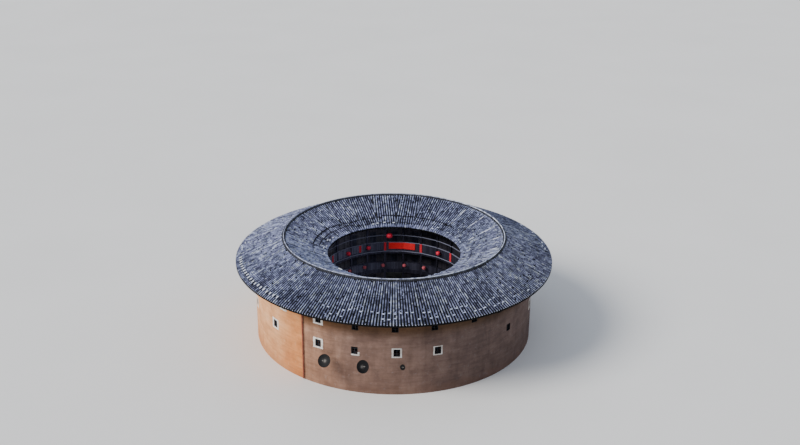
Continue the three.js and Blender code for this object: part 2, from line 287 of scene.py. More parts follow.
def thicken(bm, way):
    """Pull a copy of all faces a way off, so that a thin sheet becomes a plate."""
    out = bmesh.ops.extrude_face_region(bm, geom=bm.faces[:])["geom"]
    bmesh.ops.translate(bm, verts=[part for part in out if isinstance(part, bmesh.types.BMVert)],
                        vec=way)
    bmesh.ops.recalc_face_normals(bm, faces=bm.faces)


def lathe(bm, outline, steps, closed=True):
    """Spin an outline of (radius, height) points round the axis into a ring."""
    verts = [bm.verts.new((0, -r, z)) for r, z in outline]
    ends = verts[1:] + verts[:1] if closed else verts[1:]
    edges = [bm.edges.new(pair) for pair in zip(verts, ends)]
    bmesh.ops.spin(bm, geom=verts + edges, cent=(0, 0, 0), axis=(0, 0, 1),
                   angle=2 * math.pi, steps=steps, use_merge=True)
    bmesh.ops.remove_doubles(bm, verts=bm.verts, dist=1e-5)
    bmesh.ops.recalc_face_normals(bm, faces=bm.faces)


def dress(finish, *names):
    """Give solids that keep their shape a better material."""
    for name in names:
        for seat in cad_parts[name].material_slots:
            seat.material = finish
        print(name, "is dressed in", finish.name)


print("a step of a ring is", round(2 * math.pi * WALL_R / ROUND_STEPS, 3), "m long at the wall")

# %% [markdown]
# ## Floor and light
# The house stands on a plain pale floor. The light is a wide soft sun from the left and a pale
# sky. At this size a sun is simpler than lamps, because its strength is the same everywhere,
# and a wide sun gives the soft edge that a studio lamp would.

# %% Floor, sun and sky
FLOOR_HALF, FLOOR_BELOW = 1500, 0.004
floor_bm = bmesh.new()
bmesh.ops.create_grid(floor_bm, x_segments=8, y_segments=8, size=FLOOR_HALF)
bmesh.ops.translate(floor_bm, verts=floor_bm.verts, vec=(0, 0, -FLOOR_BELOW))


def floor_paint(add):
    """Matte wall paint on a studio floor. Its faint blotches are 20 m wide."""
    blotches = add("TexNoise", add("TexCoord", take="Object"), 0.05, 3.0)
    return [add("ValToRGB", blotches, stops=((0.3, "#efede9"), (0.7, "#f3f1ed")))]


studio_floor = placed("floor", floor_bm, material("pale_studio_floor", 0.9, floor_paint))

SUN_ANGLE, SUN_HEIGHT = -68, 38               # where it stands, as seen from the house
lamp = bpy.data.lights.new("soft_key", "SUN")
lamp.energy = 3.4
lamp.angle = math.radians(28)
lamp.color = (1.0, 0.975, 0.94)
sun = bpy.data.objects.new("soft_key", lamp)
towards = at(SUN_ANGLE, math.cos(math.radians(SUN_HEIGHT)), math.sin(math.radians(SUN_HEIGHT)))
sun.rotation_euler = towards.to_track_quat("Z", "Y").to_euler()
bpy.context.scene.collection.objects.link(sun)

sky = bpy.data.worlds.new("pale_sky")
sky.use_nodes = True
sky.node_tree.nodes["Background"].inputs["Color"].default_value = linear("#d9e3f4")
sky.node_tree.nodes["Background"].inputs["Strength"].default_value = 0.72
bpy.context.scene.world = sky
print("sun from", [round(c, 2) for c in towards])

# %% [markdown]
# ## Rammed earth
# The wall was rammed in a timber mould about 1.8 m long and 0.4 m high, moved along and up, so
# faint lines a lift apart run round it, with upright joints where the mould ended. The earth is
# matte. Left of the drainpipe it was smoothed over later and is a light orange. The rest is
# browner, with blotches, rain streaks and a redder, damp foot. Painted shade darkens the wall away
# from the sunny left side, most on its lee side, and a painted shadow lies right under the eave.

# %% Rammed earth material
PIPE_ANGLE, REPAIR_ENDS = math.radians(-36.8), math.radians(-150)
LIFT, MOULD = 0.40, 1.80


def rammed_earth(add):
    """Clay with sand and gravel, rammed while damp: matte, rough, with grains and pits.

    Real grit is 2 to 20 mm. It is drawn 110 mm wide, as coarse as it needs to be to show.
    """
    here, angle, distance, z = round_the_house(add)
    wander = add("Math", add("TexNoise", here, 0.9, 3.0), 0.16, operation="MULTIPLY")
    flat = add("CombineXYZ", add("Math", angle, WALL_R, operation="MULTIPLY"),
               add("Math", z, wander, operation="ADD"))
    lifts = add("TexBrick", flat, "#ffffff", "#d8d2cc", "#9c8d80", Scale=1.0,
                Mortar_Size=0.014, Mortar_Smooth=1.0, Brick_Width=MOULD, Row_Height=LIFT)
    repaired = add("ValToRGB", add("TexNoise", here, 0.55, 5, 0.6),
                   stops=((0.25, "#d59363"), (0.5, "#f2b37f"), (0.8, "#ffcc9d")))
    old = add("ValToRGB", add("TexNoise", here, 0.45, 6, 0.65),
              stops=((0.28, "#916d59"), (0.45, "#a57d65"), (0.6, "#b88d72"), (0.8, "#cba285")))

    # Where the old earth shows: right of the pipe, and behind a ragged line at the back.
    past_pipe = add("MapRange", angle, PIPE_ANGLE - 0.002, PIPE_ANGLE + 0.002, **SOFT)
    ragged = add("Math", add("TexNoise", here, 0.8, 3.0), 0.12, angle, operation="MULTIPLY_ADD")
    before = add("MapRange", ragged, REPAIR_ENDS + 0.05, REPAIR_ENDS - 0.02, **SOFT)
    side = add("Math", past_pipe, before, operation="MAXIMUM")
    near_pipe = add("MapRange", angle, math.radians(-56), math.radians(-40), **SOFT)
    repaired = add("Mix", near_pipe, repaired, "#efd8bd", **TINT)
    colour = add("Mix", side, repaired, old, **OVER)

    # Lines of the mould, rain streaks and flat bands of one day's work.
    colour = add("Mix", add("Math", side, 0.18, 0.10, operation="MULTIPLY_ADD"), colour, lifts,
                 **TINT)
    streaks = add("TexNoise", add("Mapping", here, Scale=(1.5, 1.5, 0.2)), 1.0, 3.0)
    streaks = add("ValToRGB", streaks, stops=((0.34, "#8f8681"), (0.55, "#ffffff")))
    colour = add("Mix", add("Math", side, 0.14, 0.05, operation="MULTIPLY_ADD"), colour,
                 streaks, **TINT)
    bands = add("TexNoise", add("Mapping", here, Scale=(0.4, 0.4, 3.4)), 1.0, 6, 0.7)
    bands = add("ValToRGB", bands, stops=((0.38, "#8d827c"), (0.56, "#ffffff")))
    colour = add("Mix", 0.2, colour, bands, **TINT)

    # The foot is redder where the wall was smoothed over, and pale spots lie everywhere.
    low = add("MapRange", z, 5.5, 0.5, 0, 0.65)
    low = add("Math", low, add("Math", side, -0.6, 1.0, operation="MULTIPLY_ADD"),
              operation="MULTIPLY")
    colour = add("Mix", low, colour, "#e0cebf", **TINT)
    pale = add("MapRange", add("TexNoise", here, 2.2, 6, 0.7), 0.58, 0.75, 0, 0.35)
    colour = add("Mix", pale, colour, "#d0bba8", **OVER)

    # Painted shade: the wall is darkened away from the sunny left side and on its back left, most
    # on the lee side, and a painted shadow of the eave lies right under it.
    behind = add("MapRange", angle, math.radians(-115), math.radians(-175), **SOFT)
    for first, last, shade_colour in ((-36, -14, "#cfd9ec"), (-14, 32, "#c3cbd6")):
        away = add("MapRange", angle, math.radians(first), math.radians(last), **SOFT)
        away = add("Math", away, behind, operation="MAXIMUM")
        colour = add("Mix", away, colour, shade_colour, **TINT)
    # A painted shadow of the eave darkens the old earth right under it.
    under_eave = add("MapRange", z, 6.5, 8.3, **SOFT)
    painted_eave_shadow = add("Math", under_eave, side, operation="MULTIPLY")
    colour = add("Mix", painted_eave_shadow, colour, "#bcab88", **TINT)
    damp_line = add("Math", add("TexNoise", here, 0.7, 4), 2.0, -0.6, operation="MULTIPLY_ADD")
    damp_top = add("Math", damp_line, 0.9, operation="ADD")
    damp = add("MapRange", z, damp_top, damp_line, 0, 0.2, **SOFT)
    colour = add("Mix", damp, colour, "#7d5b48", **OVER)

    grit = add("Bump", Height=add("TexNoise", here, 9.0, 6, 0.7), Distance=0.022)
    return colour, add("Bump", Height=lifts.node.outputs["Fac"], Distance=-0.006, Normal=grit)


EARTH = material("rammed_earth", 0.95, rammed_earth, Specular_IOR_Level=0.25)
print("lift", LIFT, "m, mould", MOULD, "m")

# %% [markdown]
# ## The wall
# A rammed wall is round but never exact: each lift bulges a little. So the wall's section is
# spun in half-degree steps with a row of points at each lift, and the outer points are pushed in
# and out by a few millimetres of noise. The windows and the gateway are then cut with a Boolean
# modifier, because a cutter box per opening is the plainest way to put holes through a curve.

# %% Where the windows are
WINDOW = (0.76, 0.90)                         # width and height of an opening
HALF_WIDTH, HALF_HEIGHT = WINDOW[0] / 2, WINDOW[1] / 2
SECOND_SILL, THIRD_SILL = 4.80, 7.80
REGULAR = [75 + BAY * i for i in range(15)]
SECOND_WINDOWS = [-53.5, -29.75, -14.7, 1.3, 16.9, 51.4] + REGULAR
THIRD_WINDOWS = [-47.8, -29.6, -14.4, 0.6, 15.5, 32, 45, 60] + REGULAR
GATE_ANGLE, GATE_SIZE, GATE_SEAT = 180, (2.20, 2.70), (2.8006, 3.0503, 0.46)
GATE_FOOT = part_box("ground_floor")[1][2]
CUT_FROM, CUT_TO = 15.0, 18.0                 # a cutter reaches through the whole wall


def openings():
    """Boxes that go through the wall, as (angle, width, low, high, nearest, farthest)."""
    boxes = [(a, WINDOW[0], sill, sill + WINDOW[1], CUT_FROM, CUT_TO)
             for sill, angles in ((SECOND_SILL, SECOND_WINDOWS), (THIRD_SILL, THIRD_WINDOWS))
             for a in angles]
    boxes.append((GATE_ANGLE, GATE_SIZE[0], GATE_FOOT, GATE_FOOT + GATE_SIZE[1],
                  CUT_FROM, CUT_TO))
    boxes.append((GATE_ANGLE, GATE_SEAT[0], GATE_FOOT + 1e-4, GATE_FOOT + GATE_SEAT[1],
                  WALL_R + 0.01 - GATE_SEAT[2], CUT_TO))
    return boxes


def inside(angle, index):
    """Whether an angle lies in a sector."""
    return abs((angle - index * SECTOR + 180) % 360 - 180) <= SECTOR / 2


print(len(SECOND_WINDOWS), "and", len(THIRD_WINDOWS), "windows")


# %% Spin, roughen and cut one eighth of the wall
def cut_with(mesh_object, boxes):
    """Cut boxes out of an object with a Boolean, and return the finished mesh."""
    cutter_bm = bmesh.new()
    for angle, width, low, high, near, far in boxes:
        add_box(cutter_bm, (width, far - near, high - low),
                (0, -(near + far) / 2, (low + high) / 2), turned(angle))
    cutter = placed("cutter", cutter_bm)
    cutting = mesh_object.modifiers.new("openings", "BOOLEAN")
    cutting.operation, cutting.solver, cutting.object = "DIFFERENCE", "EXACT", cutter
    cutting.use_self = True
    graph = bpy.context.evaluated_depsgraph_get()
    cut = bpy.data.meshes.new_from_object(mesh_object.evaluated_get(graph))
    bpy.data.meshes.remove(cutter.data)
    return cut


def wall_eighth(index):
    """One sector of the wall, rough on its outside, with its windows cut."""
    outer = [(WALL_R, LIFT * i) for i in range(int(WALL_TOP / LIFT) + 1)] + [(WALL_R, WALL_TOP)]
    inner = [(WALL_INNER[2], WALL_TOP), (WALL_INNER[2], LEDGES[1]), (WALL_INNER[1], LEDGES[1]),
             (WALL_INNER[1], LEDGES[0]), (WALL_INNER[0], LEDGES[0]), (WALL_INNER[0], 0)]
    bm = bmesh.new()
    verts = [bm.verts.new(at((index - 0.5) * SECTOR, r, z)) for r, z in outer + inner]
    edges = [bm.edges.new(pair) for pair in zip(verts, verts[1:] + verts[:1])]
    bmesh.ops.spin(bm, geom=verts + edges, cent=(0, 0, 0), axis=(0, 0, 1),
                   angle=math.radians(SECTOR), steps=90)
    bmesh.ops.holes_fill(bm, edges=[e for e in bm.edges if e.is_boundary])
    bmesh.ops.recalc_face_normals(bm, faces=bm.faces)
    for vert in bm.verts:
        if vert.co.xy.length > WALL_R - 0.05 and 0.1 < vert.co.z < WALL_TOP - 0.1:
            bulge = noise.noise(vert.co * 0.8) * 0.010 + noise.noise(vert.co * 2.6) * 0.006
            vert.co.xy *= 1 + (bulge - 0.004) / WALL_R
    uncut = placed("uncut_wall", bm)
    cut = cut_with(uncut, [box for box in openings() if inside(box[0], index)])
    bpy.data.meshes.remove(uncut.data)
    bm = bmesh.new()
    bm.from_mesh(cut)
    bpy.data.meshes.remove(cut)
    shade(bm, 30)
    return bm


for number, sector_name in enumerate(SECTORS):
    piece(f"earth_wall_{sector_name}", wall_eighth(number), EARTH, "rammed_earth",
          f"wall_{sector_name}")

# %% [markdown]
# ## Plaster round the windows
# Most windows have a broad band of white lime plaster round them, put on by hand after the
# opening was cut. It is a few centimetres thick, follows the curve of the wall, and its outer
# edge isn't straight. A flat grid gets its middle taken out, its outer edge shaken, its
# thickness pulled out, and is then bent round the wall.

# %% Lime plaster material
def lime_plaster(add):
    """Slaked lime and sand, smeared on by hand: chalky and matte, with dents 70 mm wide.

    Painted shade greys it on the lee side, and rain draws brown runs 170 mm wide down it.
    """
    here, angle, distance, z = round_the_house(add)
    colour = add("ValToRGB", add("TexNoise", here, 2.5, 6, 0.65),
                 stops=((0.3, "#cfc2b1"), (0.5, "#f2ede4"), (0.75, "#fbf8f2")))
    # Painted shade on the lee side.
    painted_lee_shade = add("MapRange", angle, math.radians(-22), math.radians(-8), 0, 0.45)
    colour = add("Mix", painted_lee_shade, colour, "#8f8a8a", **OVER)
    runs = add("TexNoise", add("Mapping", here, Scale=(6, 6, 0.8)), 1.0, 4)
    runs = add("ValToRGB", runs, stops=((0.35, "#b8a894"), (0.5, "#ffffff")))
    colour = add("Mix", 0.5, colour, runs, **TINT)
    dents = add("TexNoise", here, 14, 4, 0.6)
    return colour, add("Bump", Height=dents, Distance=0.012)


PLASTER = material("lime_plaster", 0.9, lime_plaster)
PLASTER_DEPTH, PLASTER_SINK = 0.034, 0.012    # and how deep it sits in the uneven wall


# %% Bend plaster bands round the wall
def bend_round(bm, radius, angle):
    """Wrap a flat piece that faces the front round a radius, its middle at an angle."""
    for vert in bm.verts:
        away = -vert.co.y
        vert.co = at(angle + math.degrees(vert.co.x / radius), away, vert.co.z)


def plaster_band(seed, width, keep=None):
    """A band round one opening, upright at the origin."""
    stops = [-HALF_WIDTH - width, -HALF_WIDTH - width / 2, -HALF_WIDTH, -0.13]
    heights = [-HALF_HEIGHT - width * 0.75, -HALF_HEIGHT - width * 0.4, -HALF_HEIGHT, -0.15]
    stops, heights = (side + [-stop for stop in reversed(side)] for side in (stops, heights))
    bm = bmesh.new()
    bmesh.ops.create_grid(bm, x_segments=7, y_segments=7, size=1)
    for vert in bm.verts:
        column, row = (round((c + 1) * 3.5) for c in vert.co.xy)
        edge = column in (0, 7) or row in (0, 7)
        shake = noise.noise(Vector((column, row, seed * 3.7))) * width / 5 if edge else 0
        vert.co = Vector((stops[column] + shake, 0, heights[row] + shake * 0.7))
    hole = [f for f in bm.faces if abs(f.calc_center_median().x) < HALF_WIDTH
            and abs(f.calc_center_median().z) < HALF_HEIGHT]
    if keep:
        hole += [f for f in bm.faces if f not in hole and not keep(f.calc_center_median())]
    bmesh.ops.delete(bm, geom=hole, context="FACES")
    thicken(bm, (0, -PLASTER_DEPTH, 0))
    outer = [e for e in bm.edges if e.calc_face_angle(0) > 1 and
             all(v.co.y < -0.03 for v in e.verts)]
    bmesh.ops.bevel(bm, geom=outer, offset=0.01, affect="EDGES", segments=1, profile=0.5,
                    material=-1)
    return bm


def plaster_round(sill, windows):
    """Bands for one storey: each window's angle, its band's width and the part that is left."""
    whole = bmesh.new()
    for seed, (angle, width, keep) in enumerate(windows):
        band = plaster_band(seed + sill, width, keep)
        bmesh.ops.translate(band, verts=band.verts,
                            vec=(0, -(WALL_R - PLASTER_SINK), sill + HALF_HEIGHT))
        bend_round(band, WALL_R, angle)
        part = bpy.data.meshes.new("band")
        band.to_mesh(part)
        band.free()
        whole.from_mesh(part)
        bpy.data.meshes.remove(part)
    shade(whole, 40)
    return whole


def lower_right(middle):
    return middle.x > -HALF_WIDTH and (middle.z < -HALF_HEIGHT
                                       or (middle.x > HALF_WIDTH and middle.z < -0.15))


def sill_only(middle):
    return middle.z < -HALF_HEIGHT and abs(middle.x) < HALF_WIDTH


BROAD, NARROW = 0.26, 0.15
piece("plaster_second_storey",
      plaster_round(SECOND_SILL, [(-53.5, BROAD, None), (-29.75, BROAD, None),
                                  (-14.7, 0.22, lower_right), (1.3, 0.19, None),
                                  (16.9, NARROW, None)] + [(a, BROAD, None) for a in REGULAR]),
      PLASTER, "rammed_earth")
piece("plaster_third_storey",
      plaster_round(THIRD_SILL, [(-47.8, BROAD, None), (-29.6, BROAD, None), (60, BROAD, None)]
                    + [(a, BROAD, None) for a in REGULAR]), PLASTER, "rammed_earth")
piece("worn_sills_third_storey",
      plaster_round(THIRD_SILL, [(-14.4, NARROW, sill_only), (0.6, NARROW, sill_only),
                                 (15.5, NARROW, sill_only)]), EARTH, "rammed_earth")

# %% [markdown]
# ## Window frames and bars
# Each opening is lined with a deep frame of dark timber, with an upright and cross bars in its
# middle. One is made of boxes at the front of the house, and copied to each opening. All timber
# in the house is fir, sawn into boards and left bare, or tarred at the windows. Sun and smoke
# have turned it grey to nearly black. It is matte, each board has a tone of its own, and its
# fibres run upright.
# Painted light and shade lie on all of it by side: palest on the left of the house, darkest on the
# right.

# %% Weathered timber material
WORN_SHARE = 0.6


def timber(name, dark, middle, light, board, worn=()):
    """Sawn fir in upright boards a width apart round the house, worn pale at some heights.

    Real fibres are a millimetre or two apart. They are drawn 45 mm apart, as coarse as they
    need to be to show. Painted light and shade by side make the boards palest on the left of the
    house and darkest on the right.
    """
    def sawn_fir(add):
        here, angle, distance, z = round_the_house(add)
        along = add("Math", angle, distance, operation="MULTIPLY")
        each = add("Math", add("Math", along, board, operation="DIVIDE"), operation="FLOOR")
        chance = add("TexWhiteNoise", each, noise_dimensions="1D")
        fibres = add("TexNoise", add("Mapping", here, Scale=(22, 22, 1.6)), 1.0, 4, 0.6)
        tone = add("Math", fibres, 0.4, operation="MULTIPLY")
        tone = add("Math", chance, 0.35, tone, operation="MULTIPLY_ADD")
        weather = add("TexNoise", here, 0.8, 4, 0.6)
        tone = add("Math", weather, 0.35, tone, operation="MULTIPLY_ADD")
        colour = add("ValToRGB", tone, stops=((0.25, dark), (0.55, middle), (0.85, light)))
        turn = add("Math", angle, 0.5 / math.pi, 0.5, operation="MULTIPLY_ADD")
        # Painted light and shade by side: palest on the left, darkest on the right.
        tone_by_side = add("ValToRGB", turn,
                   stops=((0.0, "#b8b8b8"), (0.10, "#ffffff"), (0.35, "#ffffff"),
                          (0.5, "#b8b8b8"), (0.70, "#6a6a70"), (0.92, "#6a6a70"),
                          (1.0, "#b8b8b8")))
        colour = add("Mix", 1.0, colour, tone_by_side, **TINT)
        edges = 0.0
        for height, reach in worn:
            edge = add("Math", z, height, reach, operation="COMPARE")
            edges = add("Math", edges, edge, operation="MAXIMUM")
        if worn:
            share = add("Math", edges, WORN_SHARE, operation="MULTIPLY")
            colour = add("Mix", share, colour, "#9a9cb2", **OVER)
        return colour, add("Bump", Height=fibres, Distance=0.006)

    return material(name, 0.82, sawn_fir, Specular_IOR_Level=0.12)


FRAME_TIMBER = timber("tarred_window_timber", "#2a2d33", "#3d434b", "#565e66", 0.06)
FRAME_BAR, FRAME_DEEP = 0.045, 0.24
UPRIGHT, CROSS_BAR = (0.044, 0.05), (0.035, 0.033)


# %% Window frames
def window_frame():
    """A frame with its bars, in the wall at the front, with its foot at the ground."""
    bm = bmesh.new()
    width, height = WINDOW
    clear = width - 2 * FRAME_BAR
    for side in (-1, 1):
        add_box(bm, (FRAME_BAR, FRAME_DEEP, height), (side * (width - FRAME_BAR) / 2, 0, 0))
        add_box(bm, (clear, FRAME_DEEP, FRAME_BAR), (0, 0, side * (height - FRAME_BAR) / 2))
    add_box(bm, (*UPRIGHT, height - 2 * FRAME_BAR), (0, 0, 0))
    for level in (-0.17, 0.17):
        add_box(bm, (clear, *CROSS_BAR), (0, 0, level))
    bmesh.ops.translate(bm, verts=bm.verts, vec=(0, -(WALL_R - 0.16), HALF_HEIGHT))
    return bm


for storey, sill, angles in (("second", SECOND_SILL, SECOND_WINDOWS),
                             ("third", THIRD_SILL, THIRD_WINDOWS)):
    frames = window_frame()
    copies(frames, [turned(a) @ Matrix.Translation((0, 0, sill)) for a in angles])
    piece(f"window_frames_{storey}_storey", frames, FRAME_TIMBER, "gallery_timber")

# %% [markdown]
# ## Grey clay tiles
# The roof is laid with small curved tiles of grey fired clay: a row of tiles with their hollow
# up, and a row with their crown up over each joint. Every tile covers part of the one below it.
# Old tiles are matte, blue-grey to nearly black, and here and there one is pale with lime or
# newly laid. The pale tones are partly painted glints of the sun on the crowns, and the nearly
# black hollows are partly painted shade between the crowns. Each tile's tone is stored on its
# faces, so that it stays with the tile. The roof's solids hold deck and tiles together, so
# heights here are measured from a solid's upper face: hollows lie a little below it, crowns a
# little above, and a deck of boards closes the underside.

# %% Clay tile material
def fired_clay(add):
    """Clay fired grey: matte and finely pitted, with rain streaks down each row.

    Real pits are a few millimetres wide. They are drawn 80 mm wide, as coarse as they need to
    be to show. The streaks are a row or two wide and 0.8 m long, and moss greys some spots.
    """
    here, angle, distance, z = round_the_house(add)
    tone = add("Attribute", attribute_name="tone", take="Fac")
    colour = add("ValToRGB", tone,
                 stops=((0.0, "#14151b"), (0.2, "#2a2c36"), (0.42, "#767898"),
                        (0.66, "#a6abd0"), (0.86, "#ccd7fc"), (0.97, "#e8f0ff")))
    patches = add("ValToRGB", add("TexNoise", here, 0.3, 3, 0.6),
                  stops=((0.32, "#9a9ca4"), (0.5, "#d6d6d8"), (0.68, "#ffffff")))
    colour = add("Mix", 0.7, colour, patches, **TINT)
    down_a_row = add("CombineXYZ", add("Math", angle, 38.0, operation="MULTIPLY"),
                     add("Math", distance, 1.3, operation="MULTIPLY"))
    streaks = add("ValToRGB", add("TexNoise", down_a_row, 1.0, 2, 0.6),
                  stops=((0.42, "#4e4e58"), (0.56, "#ffffff")))
    colour = add("Mix", 0.62, colour, streaks, **TINT)

    # Painted light, shade and sky sheen: each slope is painted lighter or darker by side.
    turn = add("Math", angle, 0.5 / math.pi, 0.5, operation="MULTIPLY_ADD")
    painted_outer_light = add("ValToRGB", turn,
                     stops=((0.0, "#c6c6c6"), (0.19, "#ececec"), (0.32, "#ffffff"),
                            (0.41, "#ececec"), (0.5, "#cdcdcd"), (0.64, "#cecece"),
                            (0.72, "#c2c2c2"), (1.0, "#c6c6c6")))
    painted_inner_light = add("ValToRGB", turn,
                     stops=((0.0, "#fafafa"), (0.42, "#ffffff"), (0.5, "#dedede"),
                            (0.64, "#d0d0d0"), (0.75, "#e4e4e4"), (1.0, "#fafafa")))
    outside = add("Math", distance, RIDGE[0], operation="GREATER_THAN")
    painted_side_light = add("Mix", outside, painted_inner_light, painted_outer_light, **OVER)
    colour = add("Mix", 1.0, colour, painted_side_light, **TINT)
    moss = add("MapRange", add("TexNoise", here, 1.1, 6, 0.7), 0.6, 0.74, 0, 0.2)
    colour = add("Mix", moss, colour, "#45434a", **OVER)
    return colour, add("Bump", Height=add("TexNoise", here, 12, 4, 0.6), Distance=0.012)


TILE = material("grey_fired_clay_tile", 0.85, fired_clay, Specular_IOR_Level=0.2)
PAN, FOOT, CROWN, TILE_THICKNESS = -0.052, -0.028, 0.046, 0.024
COVER = 0.070                                 # half the width of a cover tile
DECK_UNDER_TILES = 0.085


# %% One row of tiles
def across_row(r, aside, half, lift):
    """Seven points across a row, hollow, cover tile, hollow, all at one distance from the axis."""
    shoulder = 0.72 * COVER, FOOT + 0.74 * (CROWN - FOOT)
    points = ((-half, PAN), (-COVER, FOOT), (-shoulder[0], shoulder[1]), (0, CROWN), shoulder,
              (COVER, FOOT), (half, PAN))
    return [Vector((aside + x, -math.sqrt(r ** 2 - (aside + x) ** 2), deck_top(r) + z + lift))
            for x, z in points]


def lengthen(bm, line, points):
    """Pull a line of edges out to new points, and return the new line."""
    made = bmesh.ops.extrude_edge_only(bm, edges=line)["geom"]
    verts = sorted((g for g in made if isinstance(g, bmesh.types.BMVert)),
                   key=lambda v: v.co.x)
    for vert, point in zip(verts, points):
        vert.co = point
    return [g for g in made if isinstance(g, bmesh.types.BMEdge)]


def tile_row(bm, slope, step, aside, half_at):
    """One row down the slope. The roof past the step, a distance and a height, lies lower."""
    start, end, courses = slope["start"], slope["end"], slope["courses"]
    raised = step[1] / 2
    verts = [bm.verts.new(p) for p in across_row(start, aside, half_at(start), raised)]
    line = [bm.edges.new(pair) for pair in zip(verts, verts[1:])]
    for course in range(courses):
        before = start + (end - start) * course / courses
        r = start + (end - start) * (course + 1) / courses
        line = lengthen(bm, line, across_row(r, aside, half_at(r), raised + TILE_THICKNESS))
        if min(r, before) < step[0] <= max(r, before):
            raised -= step[1]
        points = across_row(r, aside, half_at(r), raised)
        if course == courses - 1:
            points = [Vector((p.x, p.y, deck_top(r) - DECK_UNDER_TILES - 0.005)) for p in points]
        line = lengthen(bm, line, points)


print("a cover tile is", 2 * COVER, "m wide and", round(CROWN - FOOT, 3), "m high")


# %% Tones of the tiles
RARE = 0.985                                  # above this chance a tile stands out


def tile_tones(mesh, row, across, slope, seed):
    """A tone from 0 to 1 on every face, the same over a whole tile.

    Row counts the rows at each face's middle, and across is how far it lies from its row's
    middle line. A mark is a band laid over the tones, some of lime, some of dirt, some of painted
    shadow and one of painted light: the angles and the radii where it begins and ends, half its
    width, its tone, and the share of it that is mixed in.
    """
    chance = np.random.default_rng(seed)
    angle, r = face_places(mesh)
    start, end, courses = slope["start"], slope["end"], slope["courses"]
    course = np.clip((r - start) / (end - start) * courses, 0, courses - 1).astype(int)
    rows = int(row.max()) + 2
    cover_row, pan_row = row.astype(int), np.round(row).astype(int)
    batch = chance.random((rows, courses // 2 + 1))[:, np.arange(courses) // 2]
    # The crowns' tones run up to near white: lime and new tiles, and painted glints of the sun.
    covers = 0.25 + 0.28 * chance.random((rows, 1)) + 0.22 * chance.random((rows, courses))
    covers = covers + 0.40 * batch
    covers[chance.random((rows, courses)) > RARE] = 1.0
    covers[chance.random((rows, courses)) > RARE] = 0.0
    # The hollows are nearly black: dirt, and painted shade between the crowns.
    pans = slope["pans"] * chance.random((rows, courses))
    pans[chance.random((rows, courses)) > RARE] = 0.8
    tone = np.where(across < COVER, covers[cover_row, course], pans[pan_row, course])
    for first, last, first_r, last_r, width, mark, share in slope["marks"]:
        part = (angle - first) % 360 / (last - first)
        hit = (part <= 1) & (np.abs(r - first_r - (last_r - first_r) * part) < width)
        share = share * (0.6 + 0.4 * chance.random(len(tone)))
        tone = np.where(hit, tone * (1 - share) + mark * share, tone)
    mesh.attributes.new("tone", "FLOAT", "FACE").data.foreach_set("value", tone)


def face_places(mesh):
    """The angle and the distance from the axis of each face's middle."""
    centres = np.empty(3 * len(mesh.polygons))
    mesh.polygons.foreach_get("center", centres)
    x, y, _ = centres.reshape(-1, 3).T
    return np.degrees(np.arctan2(x, -y)), np.hypot(x, y)


def settle(mesh):
    """Let the whole roof sag and heave a little, as old battens do."""
    places = np.empty(3 * len(mesh.vertices))
    mesh.vertices.foreach_get("co", places)
    places = places.reshape(-1, 3)
    sag = [noise.noise(Vector(p) * 0.55) * 0.022 + noise.noise(Vector(p) * 2.1) * 0.010
           for p in places]
    places[:, 2] += np.maximum(np.array(sag), -0.008)
    mesh.vertices.foreach_set("co", places.ravel())
    mesh.update()


def finish_tiles(bm, side, index):
    """Weld the rows to one sheet that faces up, make it a piece, and return its mesh."""
    bmesh.ops.remove_doubles(bm, verts=bm.verts, dist=1e-4)
    bm.normal_update()
    if sum(f.normal.z for f in bm.faces) < 0:
        bmesh.ops.reverse_faces(bm, faces=bm.faces)
    name = f"{side}_{SECTORS[index]}"
    return piece(f"tiles_{name}", bm, TILE, "roof_tile", f"roof_{name}").data


print("one tile in", round(1 / (1 - RARE)), "is nearly black, and as many are nearly white")

# %% [markdown]
# On the outer slope all rows point to the axis and widen a little towards the eave. On the inner
# slope that would squeeze them to nothing, so each bay has a field of rows side by side, cut off
# at a seam of tiles in mortar where it meets the next field. Each seam is a low rib.

# %% The outer slope
# Painted shadow: the dark ring round the bricks on the left, the dark ring by the ridge, which is
# partly moss, and the black tile ends at the eave.
OUTER_MARKS = [(-98, -95, 14.0, 16.4, 0.25, 0.85, 0.5), (-63, -58, 14.2, 13.7, 0.35, 0.9, 0.6),
               (-82, -42, 18.67, 18.67, 0.12, 0.1, 0.6), (-40, 50, 13.74, 13.74, 0.10, 0.06, 0.8),
               (-180, 180, EAVE_END, EAVE_END, 0.03, 0.0, 1.0)]
OUTER = {"start": RIDGE[0] + 0.06, "end": EAVE_END, "courses": 40, "pans": 0.14,
         "marks": OUTER_MARKS}
OUTER_ROWS = 45                               # in an eighth
OUTER_PITCH = SECTOR / OUTER_ROWS


def outer_eighth(index):
    bm = bmesh.new()
    spread = math.tan(math.radians(OUTER_PITCH / 2))
    tile_row(bm, OUTER, (0, 0), 0, lambda r: r * spread)
    first = (index - 0.5) * SECTOR
    bmesh.ops.rotate(bm, verts=bm.verts, cent=(0, 0, 0),
                     matrix=turned(first + OUTER_PITCH / 2).to_3x3())
    repeat(bm, OUTER_ROWS, OUTER_PITCH)
    mesh = finish_tiles(bm, "outer", index)
    angle, r = face_places(mesh)
    row = (angle - first) % 360 / OUTER_PITCH
    across = np.abs(row % 1 - 0.5) * math.radians(OUTER_PITCH) * r
    tile_tones(mesh, row, across, OUTER, 100 + index)
    settle(mesh)


for number in range(len(SECTORS)):
    outer_eighth(number)

